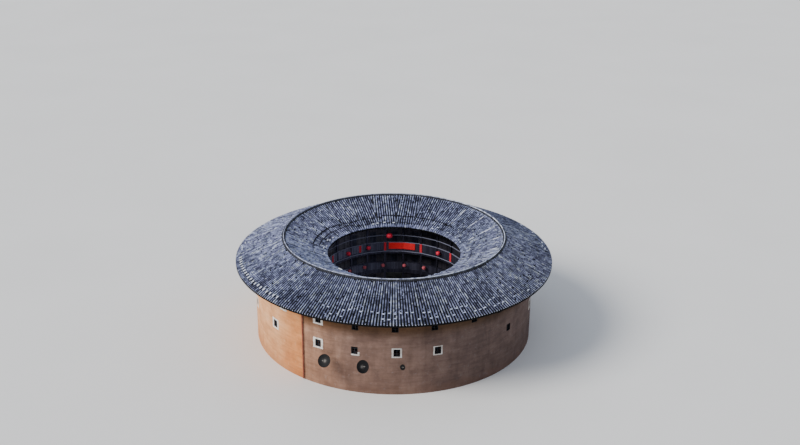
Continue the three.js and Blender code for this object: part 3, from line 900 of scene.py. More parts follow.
# %% The inner slope
# The dark arcs are painted shadow of steps in the courses, partly dirt. The broad pale band on the
# near left is painted light.
INNER_MARKS = [(-118, -84, 9.98, 9.98, 0.08, 0.0, 0.9), (-142, -118, 9.58, 9.98, 0.08, 0.0, 0.9),
               (-170, -142, 9.62, 9.58, 0.08, 0.0, 0.8), (-84, -56, 9.98, 9.25, 0.08, 0.0, 0.6),
               (-146, -93, 9.15, 9.25, 0.07, 0.0, 0.7), (128, 190, 9.70, 9.90, 0.08, 0.0, 0.8),
               (-150, -96, 8.75, 8.90, 0.06, 0.0, 0.4), (150, 215, 8.85, 8.85, 0.07, 0.0, 0.6),
               (35, 150, 13.22, 13.22, 0.16, 0.95, 0.6), (58, 90, 9.20, 9.05, 0.08, 0.95, 0.8),
               (88, 120, 8.95, 8.45, 0.08, 0.95, 0.8), (60, 92, 9.75, 9.35, 0.08, 0.1, 0.6),
               (112, 205, 8.55, 8.50, 0.14, 0.9, 0.5), (-180, 180, 8.30, 8.30, 0.10, 0.85, 0.5),
               (-91.4, -31.4, 10.8, 10.8, 2.7, 0.95, 0.36)]
INNER = {"start": RIDGE[0] - 0.06, "end": INNER_EAVE[0] + 0.03, "courses": 37, "pans": 0.28,
         "marks": INNER_MARKS}
INNER_STEP = (9.95, 0.035)                    # the tiles below this ring lie a little lower
FIRST_SEAM = -1.4
FIELD_ROWS, ROW_WIDTH = 12, 0.305


def field_of_rows():
    """A bay's field of parallel rows, its middle at the front, cut off at both seams."""
    bm = bmesh.new()
    for row in range(FIELD_ROWS):
        aside = (row + 0.5 - FIELD_ROWS / 2) * ROW_WIDTH
        tile_row(bm, INNER, INNER_STEP, aside, lambda r: ROW_WIDTH / 2)
    bmesh.ops.remove_doubles(bm, verts=bm.verts, dist=1e-4)
    for side in (1, -1):
        bmesh.ops.bisect_plane(bm, geom=bm.verts[:] + bm.edges[:] + bm.faces[:],
                               plane_co=(0, 0, 0), clear_outer=True,
                               plane_no=turned(side * BAY / 2) @ Vector((side, 0, 0)))
    return bm


def inner_eighth(index):
    bm = field_of_rows()
    middle = index * SECTOR + FIRST_SEAM + BAY / 2
    bmesh.ops.rotate(bm, verts=bm.verts, cent=(0, 0, 0), matrix=turned(middle - BAY).to_3x3())
    repeat(bm, 3, BAY)
    mesh = finish_tiles(bm, "inner", index)
    angle, r = face_places(mesh)
    past = (angle - middle + 1.5 * BAY) % 360
    field = np.clip((past / BAY).astype(int), 0, 2)
    row = np.sin(np.radians(past - (field + 0.5) * BAY)) * r / ROW_WIDTH + FIELD_ROWS / 2
    across = np.abs(row % 1 - 0.5) * ROW_WIDTH
    tile_tones(mesh, row + field * FIELD_ROWS, across, INNER, 200 + index)
    settle(mesh)


for number in range(len(SECTORS)):
    inner_eighth(number)


# %% Seams between the fields
def seam_mortar(add):
    """Lime mortar spread over the seams by hand: matte and rough, and cleaner near the ridge.

    Its dents are 70 mm wide. They stand for trowel marks, drawn as coarse as they need to be.
    """
    here, angle, distance, z = round_the_house(add)
    turn = add("Math", angle, 0.5 / math.pi, 0.5, operation="MULTIPLY_ADD")
    colour = add("ValToRGB", turn,
                 stops=((0.0, "#686b7d"), (0.25, "#5a5d6f"), (0.6, "#5a5d6f"),
                        (0.71, "#f0f3ff"), (0.87, "#f0f3ff"), (0.91, "#787d92"),
                        (1.0, "#686b7d")))
    washed = add("Math", distance, 0.05, -0.55, operation="MULTIPLY_ADD")
    washed = add("Math", washed, add("TexNoise", here, 0.9, 4, 0.7), operation="ADD")
    dirt = add("ValToRGB", washed, stops=((0.47, "#3c3d47"), (0.55, "#ffffff")))
    colour = add("Mix", 1.0, colour, dirt, **TINT)
    return colour, add("Bump", Height=add("TexNoise", here, 14, 4), Distance=0.01)


SEAM_WIDTH, SEAM_HEIGHT = 0.11, 0.12


def seams():
    """A rib with a rounded top along each seam."""
    near, far = INNER_EAVE[0] + 0.06, RIDGE[0] - 0.31
    rise = deck_top(far) - deck_top(near)
    middle = (near + far) / 2
    bm = bmesh.new()
    add_box(bm, (SEAM_WIDTH, math.hypot(rise, far - near), SEAM_HEIGHT), (0, 0, 0))
    bmesh.ops.bevel(bm, geom=[e for e in bm.edges if all(v.co.z > 0 for v in e.verts)],
                    offset=0.035, affect="EDGES", segments=2, profile=0.5, material=-1)
    bmesh.ops.transform(bm, verts=bm.verts, matrix=(
        turned(FIRST_SEAM) @ Matrix.Translation((0, -middle, deck_top(middle) - 0.002))
        @ Matrix.Rotation(-math.atan2(rise, far - near), 4, "X")))
    repeat(bm, BAYS, BAY)
    return bm


piece("roof_seams", seams(), material("mortar_of_the_seams", 0.9, seam_mortar), "ridge_tile")

# %% [markdown]
# ## The roof's deck
# Under the tiles lies the deck of old boards on battens. Only its edges and its underside show,
# and they are nearly black: painted shade on the eave's edge and underside. It is one section,
# from eave over the ridge to eave, spun round the court.

# %% Deck boards
# Near-black boards: painted shade on the deck's edges and underside.
DECK_IN_PAINTED_SHADE = timber("deck_boards_in_painted_shade", "#0a0a0b", "#121112", "#1e1c1b", 0.16)


def deck_end(eave_r):
    """The upper and the lower corner of the deck at an eave."""
    top = deck_top(eave_r)
    return (eave_r, top - DECK_UNDER_TILES), (eave_r, top - ROOF_DEPTH)


deck = bmesh.new()
inner_end, outer_end = deck_end(INNER_EAVE[0] + 0.03), deck_end(EAVE_END)
lathe(deck, [inner_end[0], (RIDGE[0], RIDGE[1] - DECK_UNDER_TILES), outer_end[0], outer_end[1],
             (RIDGE[0], RIDGE[1] - ROOF_DEPTH), inner_end[1]], ROUND_STEPS)
shade(deck, 30)
piece("roof_deck", deck, DECK_IN_PAINTED_SHADE, "plain_timber")

# %% [markdown]
# ## Ridge
# Along the ridge lies a stack of dark tiles on edge, and a crest of pale lime mortar seals it.
# From far away it reads as a thin pale line with a dark one under it. Both are rings, so each
# has its section drawn once and spun round the court.

# %% Ridge materials
TILE_ON_EDGE = 0.11


def lime_mortar(add):
    """Lime mortar smoothed along the ridge: matte, with dents a hand wide and black patches.

    Rain and mould have turned it dark in patches. Round the ring it is palest on the right,
    a little darker at the front and the left, and darkest at the back and the back left.
    """
    here, angle, distance, z = round_the_house(add)
    colour = add("ValToRGB", add("TexNoise", here, 1.6, 6, 0.75),
                 stops=((0.38, "#4a4d5c"), (0.48, "#b6bdd4"), (0.60, "#eef2ff")))
    turn = add("Math", angle, 0.5 / math.pi, 0.5, operation="MULTIPLY_ADD")
    tone_by_side = add("ValToRGB", turn,
               stops=((0.0, "#b0b0b8"), (0.15, "#94949e"), (0.28, "#d2d2da"),
                      (0.5, "#e0e0e6"), (0.56, "#ffffff"), (0.88, "#ffffff"),
                      (1.0, "#b0b0b8")))
    colour = add("Mix", 1.0, colour, tone_by_side, **TINT)
    return colour, add("Bump", Height=add("TexNoise", here, 9, 5, 0.65), Distance=0.02)


def tiles_on_edge(add):
    """Clay tiles fired dark grey, set on edge side by side: matte, each with its own tone.

    Real ones are 10 mm thick. They are drawn 110 mm thick, as coarse as they need to be.
    Their near-black tones are partly painted shade on the sides of the stack.
    """
    angle = round_the_house(add)[1]
    along = add("Math", angle, RIDGE[0], operation="MULTIPLY")
    each = add("Math", add("Math", along, TILE_ON_EDGE, operation="DIVIDE"), operation="FLOOR")
    chance = add("TexWhiteNoise", each, noise_dimensions="1D")
    # Nearly black: dark fired clay, and painted shade on the stack's sides.
    colour = add("ValToRGB", chance,
                 stops=((0.0, "#0d0e12"), (0.6, "#1a1b21"), (0.95, "#363843")))
    return colour, add("Bump", Height=chance, Distance=0.015)


MORTAR = material("weathered_lime_mortar", 0.9, lime_mortar)
RIDGE_TILES = material("ridge_tiles_on_edge", 0.85, tiles_on_edge)


# %% Ridge rings
def ridge_ring(name, half_section, finish, *nodes):
    """A ring over the ridge, from half a section: distances from its middle, and heights."""
    bm = bmesh.new()
    section = [(RIDGE[0] + aside, RIDGE[1] + up) for aside, up in half_section]
    section += [(2 * RIDGE[0] - r, z) for r, z in reversed(section) if r > RIDGE[0]]
    lathe(bm, section, ROUND_STEPS)
    shade(bm, 50)
    piece(name, bm, finish, "ridge_tile", *nodes)


ridge_ring("ridge_stack", [(0.25, -0.20), (0.22, -0.03), (0.11, 0.075)], RIDGE_TILES, "ridge_cap")
ridge_ring("ridge_crest", [(0.052, 0.07), (0.048, 0.120), (0.028, 0.155), (0, 0.165)], MORTAR)

# %% [markdown]
# ## Tile ends and weights
# At both eaves the last cover tile of each row is closed with a plug of pale mortar. Loose
# bricks lie in rings on the tiles near the eaves, and hold them down in a storm.

# %% Plugs at the eaves
PLUG_R, PLUG_DEPTH, PLUG_DOWN = 0.055, 0.05, 0.018


def plugs(r, asides, first, turns):
    """Plugs for rows that lie aside of a middle line, turned round the court from an angle."""
    bm = bmesh.new()
    for aside in asides:
        plug = bmesh.ops.create_cone(bm, cap_ends=True, segments=8, radius1=PLUG_R,
                                     radius2=PLUG_R, depth=PLUG_DEPTH)["verts"]
        bmesh.ops.rotate(bm, verts=plug, cent=(0, 0, 0),
                         matrix=Matrix.Rotation(math.radians(90), 3, "X"))
        bmesh.ops.translate(bm, verts=plug, vec=(aside, -math.sqrt(r ** 2 - aside ** 2),
                                                 deck_top(r) - PLUG_DOWN))
    bmesh.ops.rotate(bm, verts=bm.verts, cent=(0, 0, 0), matrix=turned(first).to_3x3())
    repeat(bm, turns, 360 / turns)
    return bm


WHOLE_ROWS = [(row + 0.5) * ROW_WIDTH for row in range(-3, 3)]   # none is cut by a seam there
piece("outer_eave_plugs", plugs(EAVE_END - 0.024, [0], 0, OUTER_ROWS * len(SECTORS)),
      MORTAR, "ridge_tile")
piece("inner_eave_plugs", plugs(INNER_EAVE[0] + 0.056, WHOLE_ROWS, FIRST_SEAM + BAY / 2, BAYS),
      MORTAR, "ridge_tile")


# %% Lime-washed brick material
def lime_washed_brick(add):
    """Grey fired brick under old lime wash: chalky and matte, with worn patches.

    Its pits are drawn 50 mm wide, as coarse as they need to be to show. On the left side of
    the house the bricks are painted nearly white, as painted sunlight.
    """
    here, angle, distance, z = round_the_house(add)
    colour = add("ValToRGB", add("TexNoise", here, 2.0, 4, 0.7),
                 stops=((0.3, "#858da6"), (0.5, "#b9c2dc"), (0.66, "#e2eaff")))
    # Painted sunlight: the bricks on the left side are nearly white.
    bright_variant = add("MapRange", angle, math.radians(-42), math.radians(-45), 0, 0.8)
    colour = add("Mix", bright_variant, colour, "#f6f9ff", **OVER)
    return colour, add("Bump", Height=add("TexNoise", here, 20, 3.0), Distance=0.01)


BRICK_WASH = material("lime_washed_brick", 0.9, lime_washed_brick)
BRICK, BRICK_EDGE, BRICK_UP = (0.115, 0.30, 0.07), 0.006, 0.033


# %% Loose bricks
def loose_bricks(rings, seed):
    """Bricks in rings of a radius, from an angle to an angle, with a share of places taken.

    A brick lies along the row on every second cover tile, or crosswise over two of them.
    """
    chance = np.random.default_rng(seed)
    bm = bmesh.new()
    add_box(bm, BRICK, (0, 0, 0))
    bmesh.ops.bevel(bm, geom=bm.edges[:], offset=BRICK_EDGE, affect="EDGES", segments=1,
                    profile=0.5, material=-1)
    places = []
    for r, first, last, share, crosswise in rings:
        outside = r > RIDGE[0]
        eave = OUTER_EAVE if outside else INNER_EAVE
        tilt = math.atan2(RIDGE[1] - eave[1], eave[0] - RIDGE[0])
        for angle in range(first, last, 2):
            if chance.random() > share:
                continue
            away = r + chance.normal(0, 0.03 + 0.05 * crosswise)
            seat = Vector((0, -away, deck_top(away) + CROWN + TILE_THICKNESS + BRICK_UP))
            places.append(turned(angle + crosswise * OUTER_PITCH / 2) @ Matrix.Translation(seat)
                          @ Matrix.Rotation(tilt if outside else tilt - math.pi, 4, "X")
                          @ turned(chance.normal(0, 5) + 90 * crosswise)
                          @ Matrix.Scale(1.0 if crosswise else 1.2, 4))
    copies(bm, places)
    print(len(places), "bricks")
    return bm


piece("loose_bricks", loose_bricks(
    [(18.67, -82, -42, 0.97, False), (18.62, -42, -6, 0.30, True), (18.62, -6, 44, 0.48, True),
     (18.62, 44, 278, 0.25, True), (17.84, -30, -6, 0.25, True), (17.84, -6, 40, 0.42, True),
     (8.62, -180, 180, 0.12, True)], 31),
      BRICK_WASH, "ridge_tile")

# %% [markdown]
# ## Rafters
# Squared poles of fir carry the deck past the wall and past the galleries, so a ring of
# rafter ends shows under each eave.

# %% Rafters under both eaves
RAFTER_TIMBER = timber("brown_rafter_timber", "#241d17", "#3a3027", "#54473a", 0.3)
RAFTER = (0.09, 0.13)                         # width and depth


def rafters(inner, outer, count):
    """Rafters under the deck between two distances from the axis."""
    bm = bmesh.new()
    rise = deck_top(outer) - deck_top(inner)
    middle = (inner + outer) / 2
    tilt = Matrix.Rotation(-math.atan2(rise, outer - inner), 4, "X")
    seat = Matrix.Translation((0, -middle, deck_top(middle) - ROOF_DEPTH - 0.085))
    add_box(bm, (RAFTER[0], math.hypot(rise, outer - inner), RAFTER[1]), (0, 0, 0), seat @ tilt)
    repeat(bm, count, 360 / count)
    return bm


piece("outer_rafters", rafters(17.05, 19.12, 144), RAFTER_TIMBER, "plain_timber")
piece("inner_rafters", rafters(8.28, 9.05, 96), RAFTER_TIMBER, "plain_timber")

# %% [markdown]
# ## Galleries
# The galleries are of old dark timber, nearly black in the shade of the court, and paler along
# the pole, the rails and the floor edge that hands and feet have worn. Their posts, beams and
# rails are the solids themselves with a timber material. The parapets get upright planks: one
# bay is made and turned round the court.

# %% Gallery timber and planks
WORN_EDGES = ((8.36, 0.05), (7.38, 0.035), (6.12, 0.06))   # heights, and how far they reach
GALLERY_TIMBER = timber("dark_gallery_timber", "#333140", "#474558", "#646276", 0.22, WORN_EDGES)
PLANK_TIMBER = timber("parapet_planks", "#504e60", "#6b6a7f", "#88879c", 0.15)
dress(GALLERY_TIMBER, *(f"gallery_{name}" for name in SECTORS))
PLANKS, PLANK_GAP, PLANK_THICKNESS, PLANK_HEIGHT = 14, 0.012, 0.018, 1.03


def parapet_planks():
    """Planks in all bays of both upper floors, from 0.12 m beside each post's middle."""
    bm = bmesh.new()
    across = 2 * PARAPET_CORNER * math.sin(math.radians(BAY / 2)) - 0.24
    width = across / PLANKS
    for floor in (SECOND_FLOOR, THIRD_FLOOR):
        for i in range(PLANKS):
            add_box(bm, (width - PLANK_GAP, PLANK_THICKNESS, PLANK_HEIGHT),
                    ((i + 0.5) * width - across / 2, -(PARAPET_FACE - 0.0095), floor + 0.525))
    repeat(bm, BAYS, BAY)
    return bm


piece("parapet_planks", parapet_planks(), PLANK_TIMBER, "gallery_timber")

# %% [markdown]
# ## Floors, plate and room fronts
# Floors and the wall's plate are plain brown boards. The room fronts are dark board walls. Each
# room has a pair of plank doors, closed, in a frame that stands a little out of the boards.

# %% Floors and fronts
FLOOR_BOARDS = timber("worn_floor_boards", "#4c443f", "#6c6058", "#8e8174", 0.25)
FRONT_BOARDS = timber("dark_room_front_boards", "#706a76", "#8a848f", "#a29ca8", 0.20)
dress(FLOOR_BOARDS, "second_floor", "third_floor", "wall_plate")
dress(FRONT_BOARDS, "ground_room_front", "second_room_front", "third_room_front")
GATE_BAY = 12                                 # the passage to the gateway has no room


def door_pair():
    """A pair of doors with its frame, its foot at the origin, facing the court."""
    bm = bmesh.new()
    for side in (-1, 1):
        add_box(bm, (0.07, 0.07, 2.0), (side * 0.395, -0.012, 1.06))
        for plank in range(3):
            add_box(bm, (0.112, 0.03, 1.86), (side * (0.065 + plank * 0.118), -0.004, 1.03))
        for level in (0.45, 1.60):
            add_box(bm, (0.34, 0.02, 0.08), (side * 0.185, 0.020, level))
    add_box(bm, (0.86, 0.07, 0.09), (0, -0.012, 2.01))
    return bm


def room_doors(floor, bays):
    """A pair of doors on a floor in each of the bays."""
    bm = door_pair()
    copies(bm, [turned(bay * BAY) @ Matrix.Translation((0, -(ROOM_FACE + 0.03), floor))
                for bay in bays])
    return bm


for storey, floor in (("ground", GATE_FOOT), ("second", SECOND_FLOOR), ("third", THIRD_FLOOR)):
    bays = [bay for bay in range(BAYS) if storey != "ground" or bay != GATE_BAY]
    piece(f"{storey}_storey_doors", room_doors(floor, bays), PLANK_TIMBER, "gallery_timber")


# %% Stone of the raised ground floor and the gateway
def dressed_stone(add):
    """Granite cut to slabs 0.75 by 0.42 m and trodden smooth: matte, with dark open joints.

    Chisel marks are 5 mm wide. They are drawn 70 mm wide, as coarse as they need to be.
    """
    here, angle, distance, z = round_the_house(add)
    flat = add("CombineXYZ", add("Math", angle, distance, operation="MULTIPLY"), distance)
    slabs = add("TexBrick", flat, "#6f6b64", "#57544f", "#2f2d2a", Scale=1.0,
                Mortar_Size=0.012, Brick_Width=0.75, Row_Height=0.42)
    stains = add("ValToRGB", add("TexNoise", here, 3, 5, 0.65),
                 stops=((0.3, "#7d7a74"), (0.7, "#ffffff")))
    worn = add("Bump", Height=add("TexNoise", here, 14, 5, 0.6), Distance=0.008)
    return (add("Mix", 0.5, slabs, stains, **TINT),
            add("Bump", Height=slabs.node.outputs["Fac"], Distance=-0.008, Normal=worn))


STONE = material("grey_dressed_stone", 0.88, dressed_stone)
dress(STONE, "ground_floor", "gate_frame")

# %% [markdown]
# ## Lanterns
# Red lanterns of oiled silk over bamboo hoops hang in front of the galleries: small ones from
# brackets on the rails, and one large one from the eave beam. A lantern's outline, with a
# swelling between each pair of hoops, is spun round its own axis and copied.

# %% Lantern materials
def oiled_silk(add):
    """Silk dyed red and oiled: a soft sheen, and faded to pink on the lower storey.

    Its threads are drawn 17 mm apart, as coarse as they need to be to show.
    """
    here = add("TexCoord", take="Object")
    folds = add("TexNoise", here, 5, 3.0)
    bright_variant = add("ValToRGB", folds, stops=((0.3, "#d81c38"), (0.7, "#fc3450")))
    faded = add("ValToRGB", folds, stops=((0.3, "#b0404a"), (0.7, "#e0707a")))
    low = add("Math", add("SeparateXYZ", here, take="Z"), SECOND_FLOOR + 2,
              operation="LESS_THAN")
    threads = add("TexNoise", here, 60, 2)
    return add("Mix", low, bright_variant, faded, **OVER), add("Bump", Height=threads, Distance=0.002)


def drawn_brass(add):
    """Brass wire, drawn and then dulled by weather: metallic, with brown tarnish in patches."""
    tarnish = add("TexNoise", add("TexCoord", take="Object"), 8, 3.0)
    return [add("ValToRGB", tarnish, stops=((0.3, "#4d3c1f"), (0.7, "#8a6b34")))]


SILK = material("red_lantern_silk", 0.55, oiled_silk)
BRASS = material("dull_brass_wire", 0.5, drawn_brass, Metallic=0.8)


# %% Lanterns
def lantern_shape(radius, height):
    """A ribbed lantern round the origin's Z axis."""
    bm = bmesh.new()
    neck, ribs = radius * 0.38, 12
    points = [(0.001, height / 2), (neck, height / 2)]
    for i in range(1, ribs):
        part = i / ribs
        swell = math.sqrt(max(0.0, 1 - (1 - 2 * part) ** 2))
        rib = 0.97 if i % 2 else 1.0
        points.append((radius * (0.40 + 0.60 * swell) * rib, height * (0.5 - part)))
    points += [(neck, -height / 2), (0.001, -height / 2)]
    lathe(bm, points, 14, closed=False)
    shade(bm, 60)
    return bm


def far_and_near(places):
    """Angles measured on the far side of the court, and the same across on the near side."""
    return [(180 - a, z) for a, z in places] + [(-a, z) for a, z in places]


SMALL_LANTERNS = far_and_near([(-41.9, 6.78), (-22.2, 6.90), (40.3, 6.85), (-40.8, 4.22),
                               (-25.9, 4.22), (-9.5, 4.18), (8.8, 4.18), (26.4, 4.22)])
BIG_LANTERN = (184.1, 8.42)
LANTERN_R, UPPER = 8.85, 5.5                  # small lanterns above this height are larger

small = lantern_shape(0.22, 0.36)
copies(small, [Matrix.Translation(at(a, LANTERN_R, z))
               @ Matrix.Scale(1.35 if z > UPPER else 1.15, 4) for a, z in SMALL_LANTERNS])
piece("small_lanterns", small, SILK, "red_cloth")

big = lantern_shape(0.42, 0.62)
bmesh.ops.translate(big, verts=big.verts, vec=at(BIG_LANTERN[0], LANTERN_R, BIG_LANTERN[1]))
piece("big_lantern", big, SILK, "red_cloth")


# %% Lantern hangers
WIRE = 0.018
EAVE_BEAM = (9.2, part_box("gallery_back")[1][2] - 0.19)         # its radius and height


def add_hanger(bm, angle, beam, top, end):
    """A bracket from a beam's radius to over a lantern, and a drop from its top to an end."""
    add_box(bm, (WIRE, beam - LANTERN_R, WIRE), (0, -(beam + LANTERN_R) / 2, top), turned(angle))
    add_box(bm, (WIRE, WIRE, top - end), (0, -LANTERN_R, (top + end) / 2), turned(angle))


hangers = bmesh.new()
for angle, z in SMALL_LANTERNS:
    floor = THIRD_FLOOR if z > UPPER else SECOND_FLOOR
    add_hanger(hangers, angle, along_bay(RAIL_CORNER, angle) + 0.04, floor + 1.11, z + 0.2)
add_hanger(hangers, BIG_LANTERN[0], *EAVE_BEAM, BIG_LANTERN[1] + 0.3)
piece("lantern_hangers", hangers, BRASS, "gallery_timber")

# %% [markdown]
# ## Red paper strips
# Upright strips of red paper with notched sides are pasted on the third storey's posts and
# parapet. They are left bare. Each is a thin plate whose long edges are cut in and out.

# %% Paper strips
def dyed_paper(add):
    """Thin rag paper, dyed red and pasted flat: matte, and blotched where the paste soaked in."""
    blotches = add("TexNoise", add("TexCoord", take="Object"), 6, 4)
    return [add("ValToRGB", blotches, stops=((0.3, "#c01526"), (0.7, "#e62838")))]


POST_FACE, PASTE = 9.130, 0.006               # a post's face, and how far a strip is from it
NOTCHES, STRIP_WIDTHS, STRIP_HEIGHT = 12, (0.22, 0.40), 0.98


def on_parapet(angle, out):
    """The place on a bay's straight parapet at an angle, a distance out from its planks."""
    bay = bay_middle(angle)
    face = PARAPET_FACE - 0.019 - out
    aside = face * math.tan(math.radians(angle - bay))
    return turned(bay) @ Matrix.Translation((aside, -face, 0))


def on_post(angle, out):
    return turned(angle) @ Matrix.Translation((0, -(POST_FACE - out), 0))


def paper_strip():
    """A strip, upright at the origin, as a thin plate."""
    bm = bmesh.new()
    bmesh.ops.create_grid(bm, x_segments=1, y_segments=NOTCHES, size=0.5)
    for vert in bm.verts:
        level = round((vert.co.y + 0.5) * NOTCHES)
        width = STRIP_WIDTHS[level % 2] / 2
        vert.co = Vector((math.copysign(width, vert.co.x), 0, vert.co.y * STRIP_HEIGHT))
    thicken(bm, (0, 0.004, 0))
    return bm


ON_PARAPET = far_and_near([(-59, 6.84), (-29.1, 6.84)])
ON_POSTS = far_and_near([(-7.5, 6.80), (22.5, 6.80), (52.5, 6.80)])
strips = paper_strip()
copies(strips, [on_parapet(a, PASTE) @ Matrix.Translation((0, 0, z)) for a, z in ON_PARAPET]
       + [on_post(a, PASTE) @ Matrix.Translation((0, 0, z)) @ Matrix.Scale(1.2, 4, (0, 0, 1))
          for a, z in ON_POSTS])
piece("red_paper_strips", strips, material("red_paper", 0.7, dyed_paper), "red_cloth")

# %% [markdown]
# ## The red banner
# A plain red cotton banner, 3.5 m long and not quite a metre deep, is tied along the third
# storey's rail. It hangs straight between its ties, sags a little along its top edge, and its
# foot swings in slow waves. A grid is bent along the rail, and the waves are moved into it.

# %% Banner cloth
THREADS = 220.0                               # squares of the weave in a metre


def dyed_cotton(add):
    """Cotton, woven and dyed red: matte, with a faint fuzz and an even plain weave.

    Real threads are half a millimetre apart. The weave is drawn in squares of 4.5 mm, as
    coarse as it needs to be to show.
    """
    here = add("TexCoord", take="UV")
    weave = add("TexChecker", here, Scale=THREADS, take="Fac")
    colour = add("ValToRGB", add("TexNoise", here, 6, 4),
                 stops=((0.3, "#dc1019"), (0.7, "#f2181f")))
    return colour, add("Bump", Height=weave, Distance=0.001)


COTTON = material("red_cotton", 0.85, dyed_cotton, Sheen_Weight=0.1)
BANNER_FROM, BANNER_TO = 162.4, 184.5
BANNER_LOW, BANNER_HIGH = 6.44, 7.36
BANNER_TIES = 6
CLOTH = (3.55, 0.92)                          # the sheet that the weave is laid out on


# %% The banner
def banner_path(part):
    """The angle and the distance from the axis of a place along the banner, from 0 to 1."""
    angle = BANNER_FROM + (BANNER_TO - BANNER_FROM) * part
    return angle, along_bay(BANNER_CORNER, angle)


def banner_cloth():
    """A grid along the rail, sagging between its ties, with waves that grow towards its foot."""
    bm = bmesh.new()
    bmesh.ops.create_grid(bm, x_segments=96, y_segments=20, size=0.5, calc_uvs=True)
    sheet = bm.loops.layers.uv.verify()
    for face in bm.faces:
        for loop in face.loops:
            x, y, _ = loop.vert.co
            loop[sheet].uv = (x + 0.5) * CLOTH[0], (y + 0.5) * CLOTH[1]
    for vert in bm.verts:
        part, up = vert.co.x + 0.5, vert.co.y + 0.5
        angle, r = banner_path(part)
        between = abs(math.sin(math.pi * (BANNER_TIES - 1) * part))
        z = BANNER_LOW + (BANNER_HIGH - BANNER_LOW) * up - 0.012 * between * up
        wave = 0.007 * math.sin(math.pi * (BANNER_TIES - 1) * 2 * part + 0.8) * (1 - 0.6 * up)
        wave += 0.004 * noise.noise(Vector((part * 9, up * 2.5, 1.7)))
        vert.co = at(angle, r + wave, z)
    bmesh.ops.recalc_face_normals(bm, faces=bm.faces)
    shade(bm, 80)
    return bm


banner = piece("red_banner", banner_cloth(), COTTON, "red_cloth", "banner")
hem = banner.modifiers.new("cloth_thickness", "SOLIDIFY")
hem.thickness, hem.offset = 0.002, 0


# %% Its ties
def banner_ties():
    """A tie from the rail to the banner's top edge at each place where it is held."""
    bm = bmesh.new()
    for i in range(BANNER_TIES):
        angle, r = banner_path(min(max(i / (BANNER_TIES - 1), 0.01), 0.99))
        far, near = along_bay(RAIL_CORNER, angle) + 0.01, r - 0.012
        add_box(bm, (0.02, far - near, 0.02), (0, -(far + near) / 2, BANNER_HIGH - 0.015),
                turned(angle))
    return bm


piece("banner_ties", banner_ties(), GALLERY_TIMBER, "gallery_timber")

# %% [markdown]
# ## Reflectors
# Three dark reflectors hang on the wall. The bowl is a shallow parabola of dark wire mesh with a
# rolled rim and ribs at its back. Its outline is spun round its own axis; the arm and the foot
# plate follow the solid that it stands for.

# %% Reflector material
def painted_mesh(add):
    """Steel wire mesh, dipped in black paint: matte, paler in its dusty middle, rusty in spots.

    Real holes are 2 mm wide. They are drawn 22 mm wide, as coarse as they need to be.
    """
    here = add("TexCoord", take="Object")
    holes = add("TexVoronoi", here, Scale=45.0)
    out = add("Attribute", attribute_name="out", take="Fac")
    colour = add("ValToRGB", out,
                 stops=((0.0, "#b4aea6"), (0.16, "#6b6660"), (0.34, "#282625"),
                        (0.6, "#131314"), (0.95, "#0a0a0b")))
    dark_holes = add("ValToRGB", holes, stops=((0.15, "#303030"), (0.6, "#ffffff")))
    colour = add("Mix", 0.6, colour, dark_holes, **TINT)
    rust = add("MapRange", add("TexNoise", here, 3, 5, 0.7), 0.6, 0.8, 0, 0.5)
    colour = add("Mix", rust, colour, "#4a3226", **OVER)
    return colour, add("Bump", Height=holes, Distance=0.01)


MESH_PAINT = material("dark_painted_wire_mesh", 0.8, painted_mesh)

# Each has a name, an angle, a height, a diameter, and how far it is turned and tilted.
REFLECTORS = (("dish_left", -25.1, 3.80, 1.50, 4, 30), ("dish_middle", -11.2, 3.85, 1.50, 42, 28),
              ("dish_right", 3.2, 3.68, 0.65, 30, 30))
FACET = 5                                     # degrees of one flat facet of the wall's solid
HOLLOW, REACH, FOCUS = 0.16, 0.62, 0.5        # shares of the diameter
SHELL, SPOKES, SPOKE_R = 0.012, 12, 0.008


# %% Reflector pieces
def rod(bm, start, end, radius, sides=10):
    """A round rod between two points."""
    way = end - start
    made = bmesh.ops.create_cone(bm, cap_ends=True, segments=sides, radius1=radius,
                                 radius2=radius, depth=way.length)["verts"]
    turn = way.to_track_quat("Z", "Y").to_matrix().to_4x4()
    bmesh.ops.transform(bm, verts=made, matrix=Matrix.Translation((start + end) / 2) @ turn)


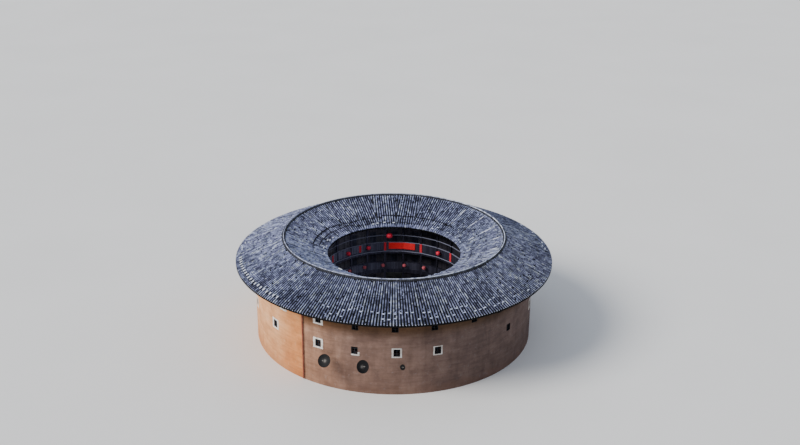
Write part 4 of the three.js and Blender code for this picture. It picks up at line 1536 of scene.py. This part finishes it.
def bowl(diameter):
    """A bowl with its spokes, its focus and the focus's legs, its hollow side up."""
    rim, hollow, focus = diameter / 2, HOLLOW * diameter, FOCUS * diameter
    bm = bmesh.new()
    curve = [(max(part * rim, 0.001), hollow * part ** 2) for part in
             (0, 0.12, 0.25, 0.4, 0.55, 0.7, 0.85, 0.985)]
    outline = curve + [(rim * 0.999, hollow + 0.004), (rim * 0.985, hollow + 0.018)]
    outline += [(r, h + SHELL) for r, h in reversed(curve[:-1])]
    lathe(bm, outline, 48, closed=False)
    for i in range(SPOKES):
        spoke = [(part * rim, hollow * part ** 2 - 0.002) for part in (0.08, 0.35, 0.65, 0.96)]
        points = [at(360 / SPOKES * i, r, h) for r, h in spoke]
        for start, end in zip(points, points[1:]):
            rod(bm, start, end, SPOKE_R, 6)
    rod(bm, Vector((0, 0, -0.04)), Vector((0, 0, focus)), 0.012)
    rod(bm, Vector((0, 0, focus - 0.12)), Vector((0, 0, focus)), 0.042, 16)
    for angle in (90, 210, 330):
        rod(bm, at(angle, rim * 0.7, hollow * 0.49), Vector((0, 0, focus - 0.05)), SPOKE_R, 6)
    out = bm.verts.layers.float.new("out")
    for vert in bm.verts:
        vert[out] = min(vert.co.xy.length / rim, 1)
    return bm


def reflector(angle, z, diameter, turn, tilt):
    """A bowl at its place in front of the wall, with its arm and its foot plate."""
    facet = round(angle / FACET) * FACET
    face = -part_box("wall_front")[0][1]
    along = face * math.tan(math.radians(angle - facet))
    hang = turned(facet) @ Matrix.Translation((along, -face - 0.0003, z))
    pose = (hang @ Matrix.Translation((0, -REACH * diameter, 0))
            @ turned(turn) @ Matrix.Rotation(math.radians(-tilt), 4, "X"))
    bm = bowl(diameter)
    bmesh.ops.transform(bm, verts=bm.verts,
                        matrix=pose @ Matrix.Rotation(math.radians(90), 4, "X"))
    hub = pose @ Vector((0, 0.04, 0))
    foot = Vector((0, -0.012, -0.25 * diameter))
    rod(bm, hang @ foot, hub, 0.028, 12)
    add_box(bm, (0.26, 0.018, 0.32), (0, -0.010, foot.z), hang)
    bmesh.ops.recalc_face_normals(bm, faces=bm.faces)
    shade(bm, 40)
    return bm


for name, angle, z, diameter, turn, tilt in REFLECTORS:
    piece(f"{name}_reflector", reflector(angle, z, diameter, turn, tilt), MESH_PAINT,
          "dish_metal", name)

# %% [markdown]
# ## Drainpipe
# The pipe is sheet metal with a dull red-brown paint, with chalky blotches. Its shape is right
# as it is.

# %% Drainpipe paint
def brushed_paint(add):
    """Oil paint brushed on sheet metal: a satin that has gone dull, with chalky blotches.

    Brush marks are drawn 55 mm wide, as coarse as they need to be to show.
    """
    here = add("TexCoord", take="Object")
    colour = add("ValToRGB", add("TexNoise", here, 1.5, 5, 0.65),
                 stops=((0.3, "#6d3221"), (0.55, "#97513a"), (0.8, "#b06a4e")))
    return colour, add("Bump", Height=add("TexNoise", here, 18, 3.0), Distance=0.004)


dress(material("red_brown_oil_paint", 0.6, brushed_paint), "drainpipe")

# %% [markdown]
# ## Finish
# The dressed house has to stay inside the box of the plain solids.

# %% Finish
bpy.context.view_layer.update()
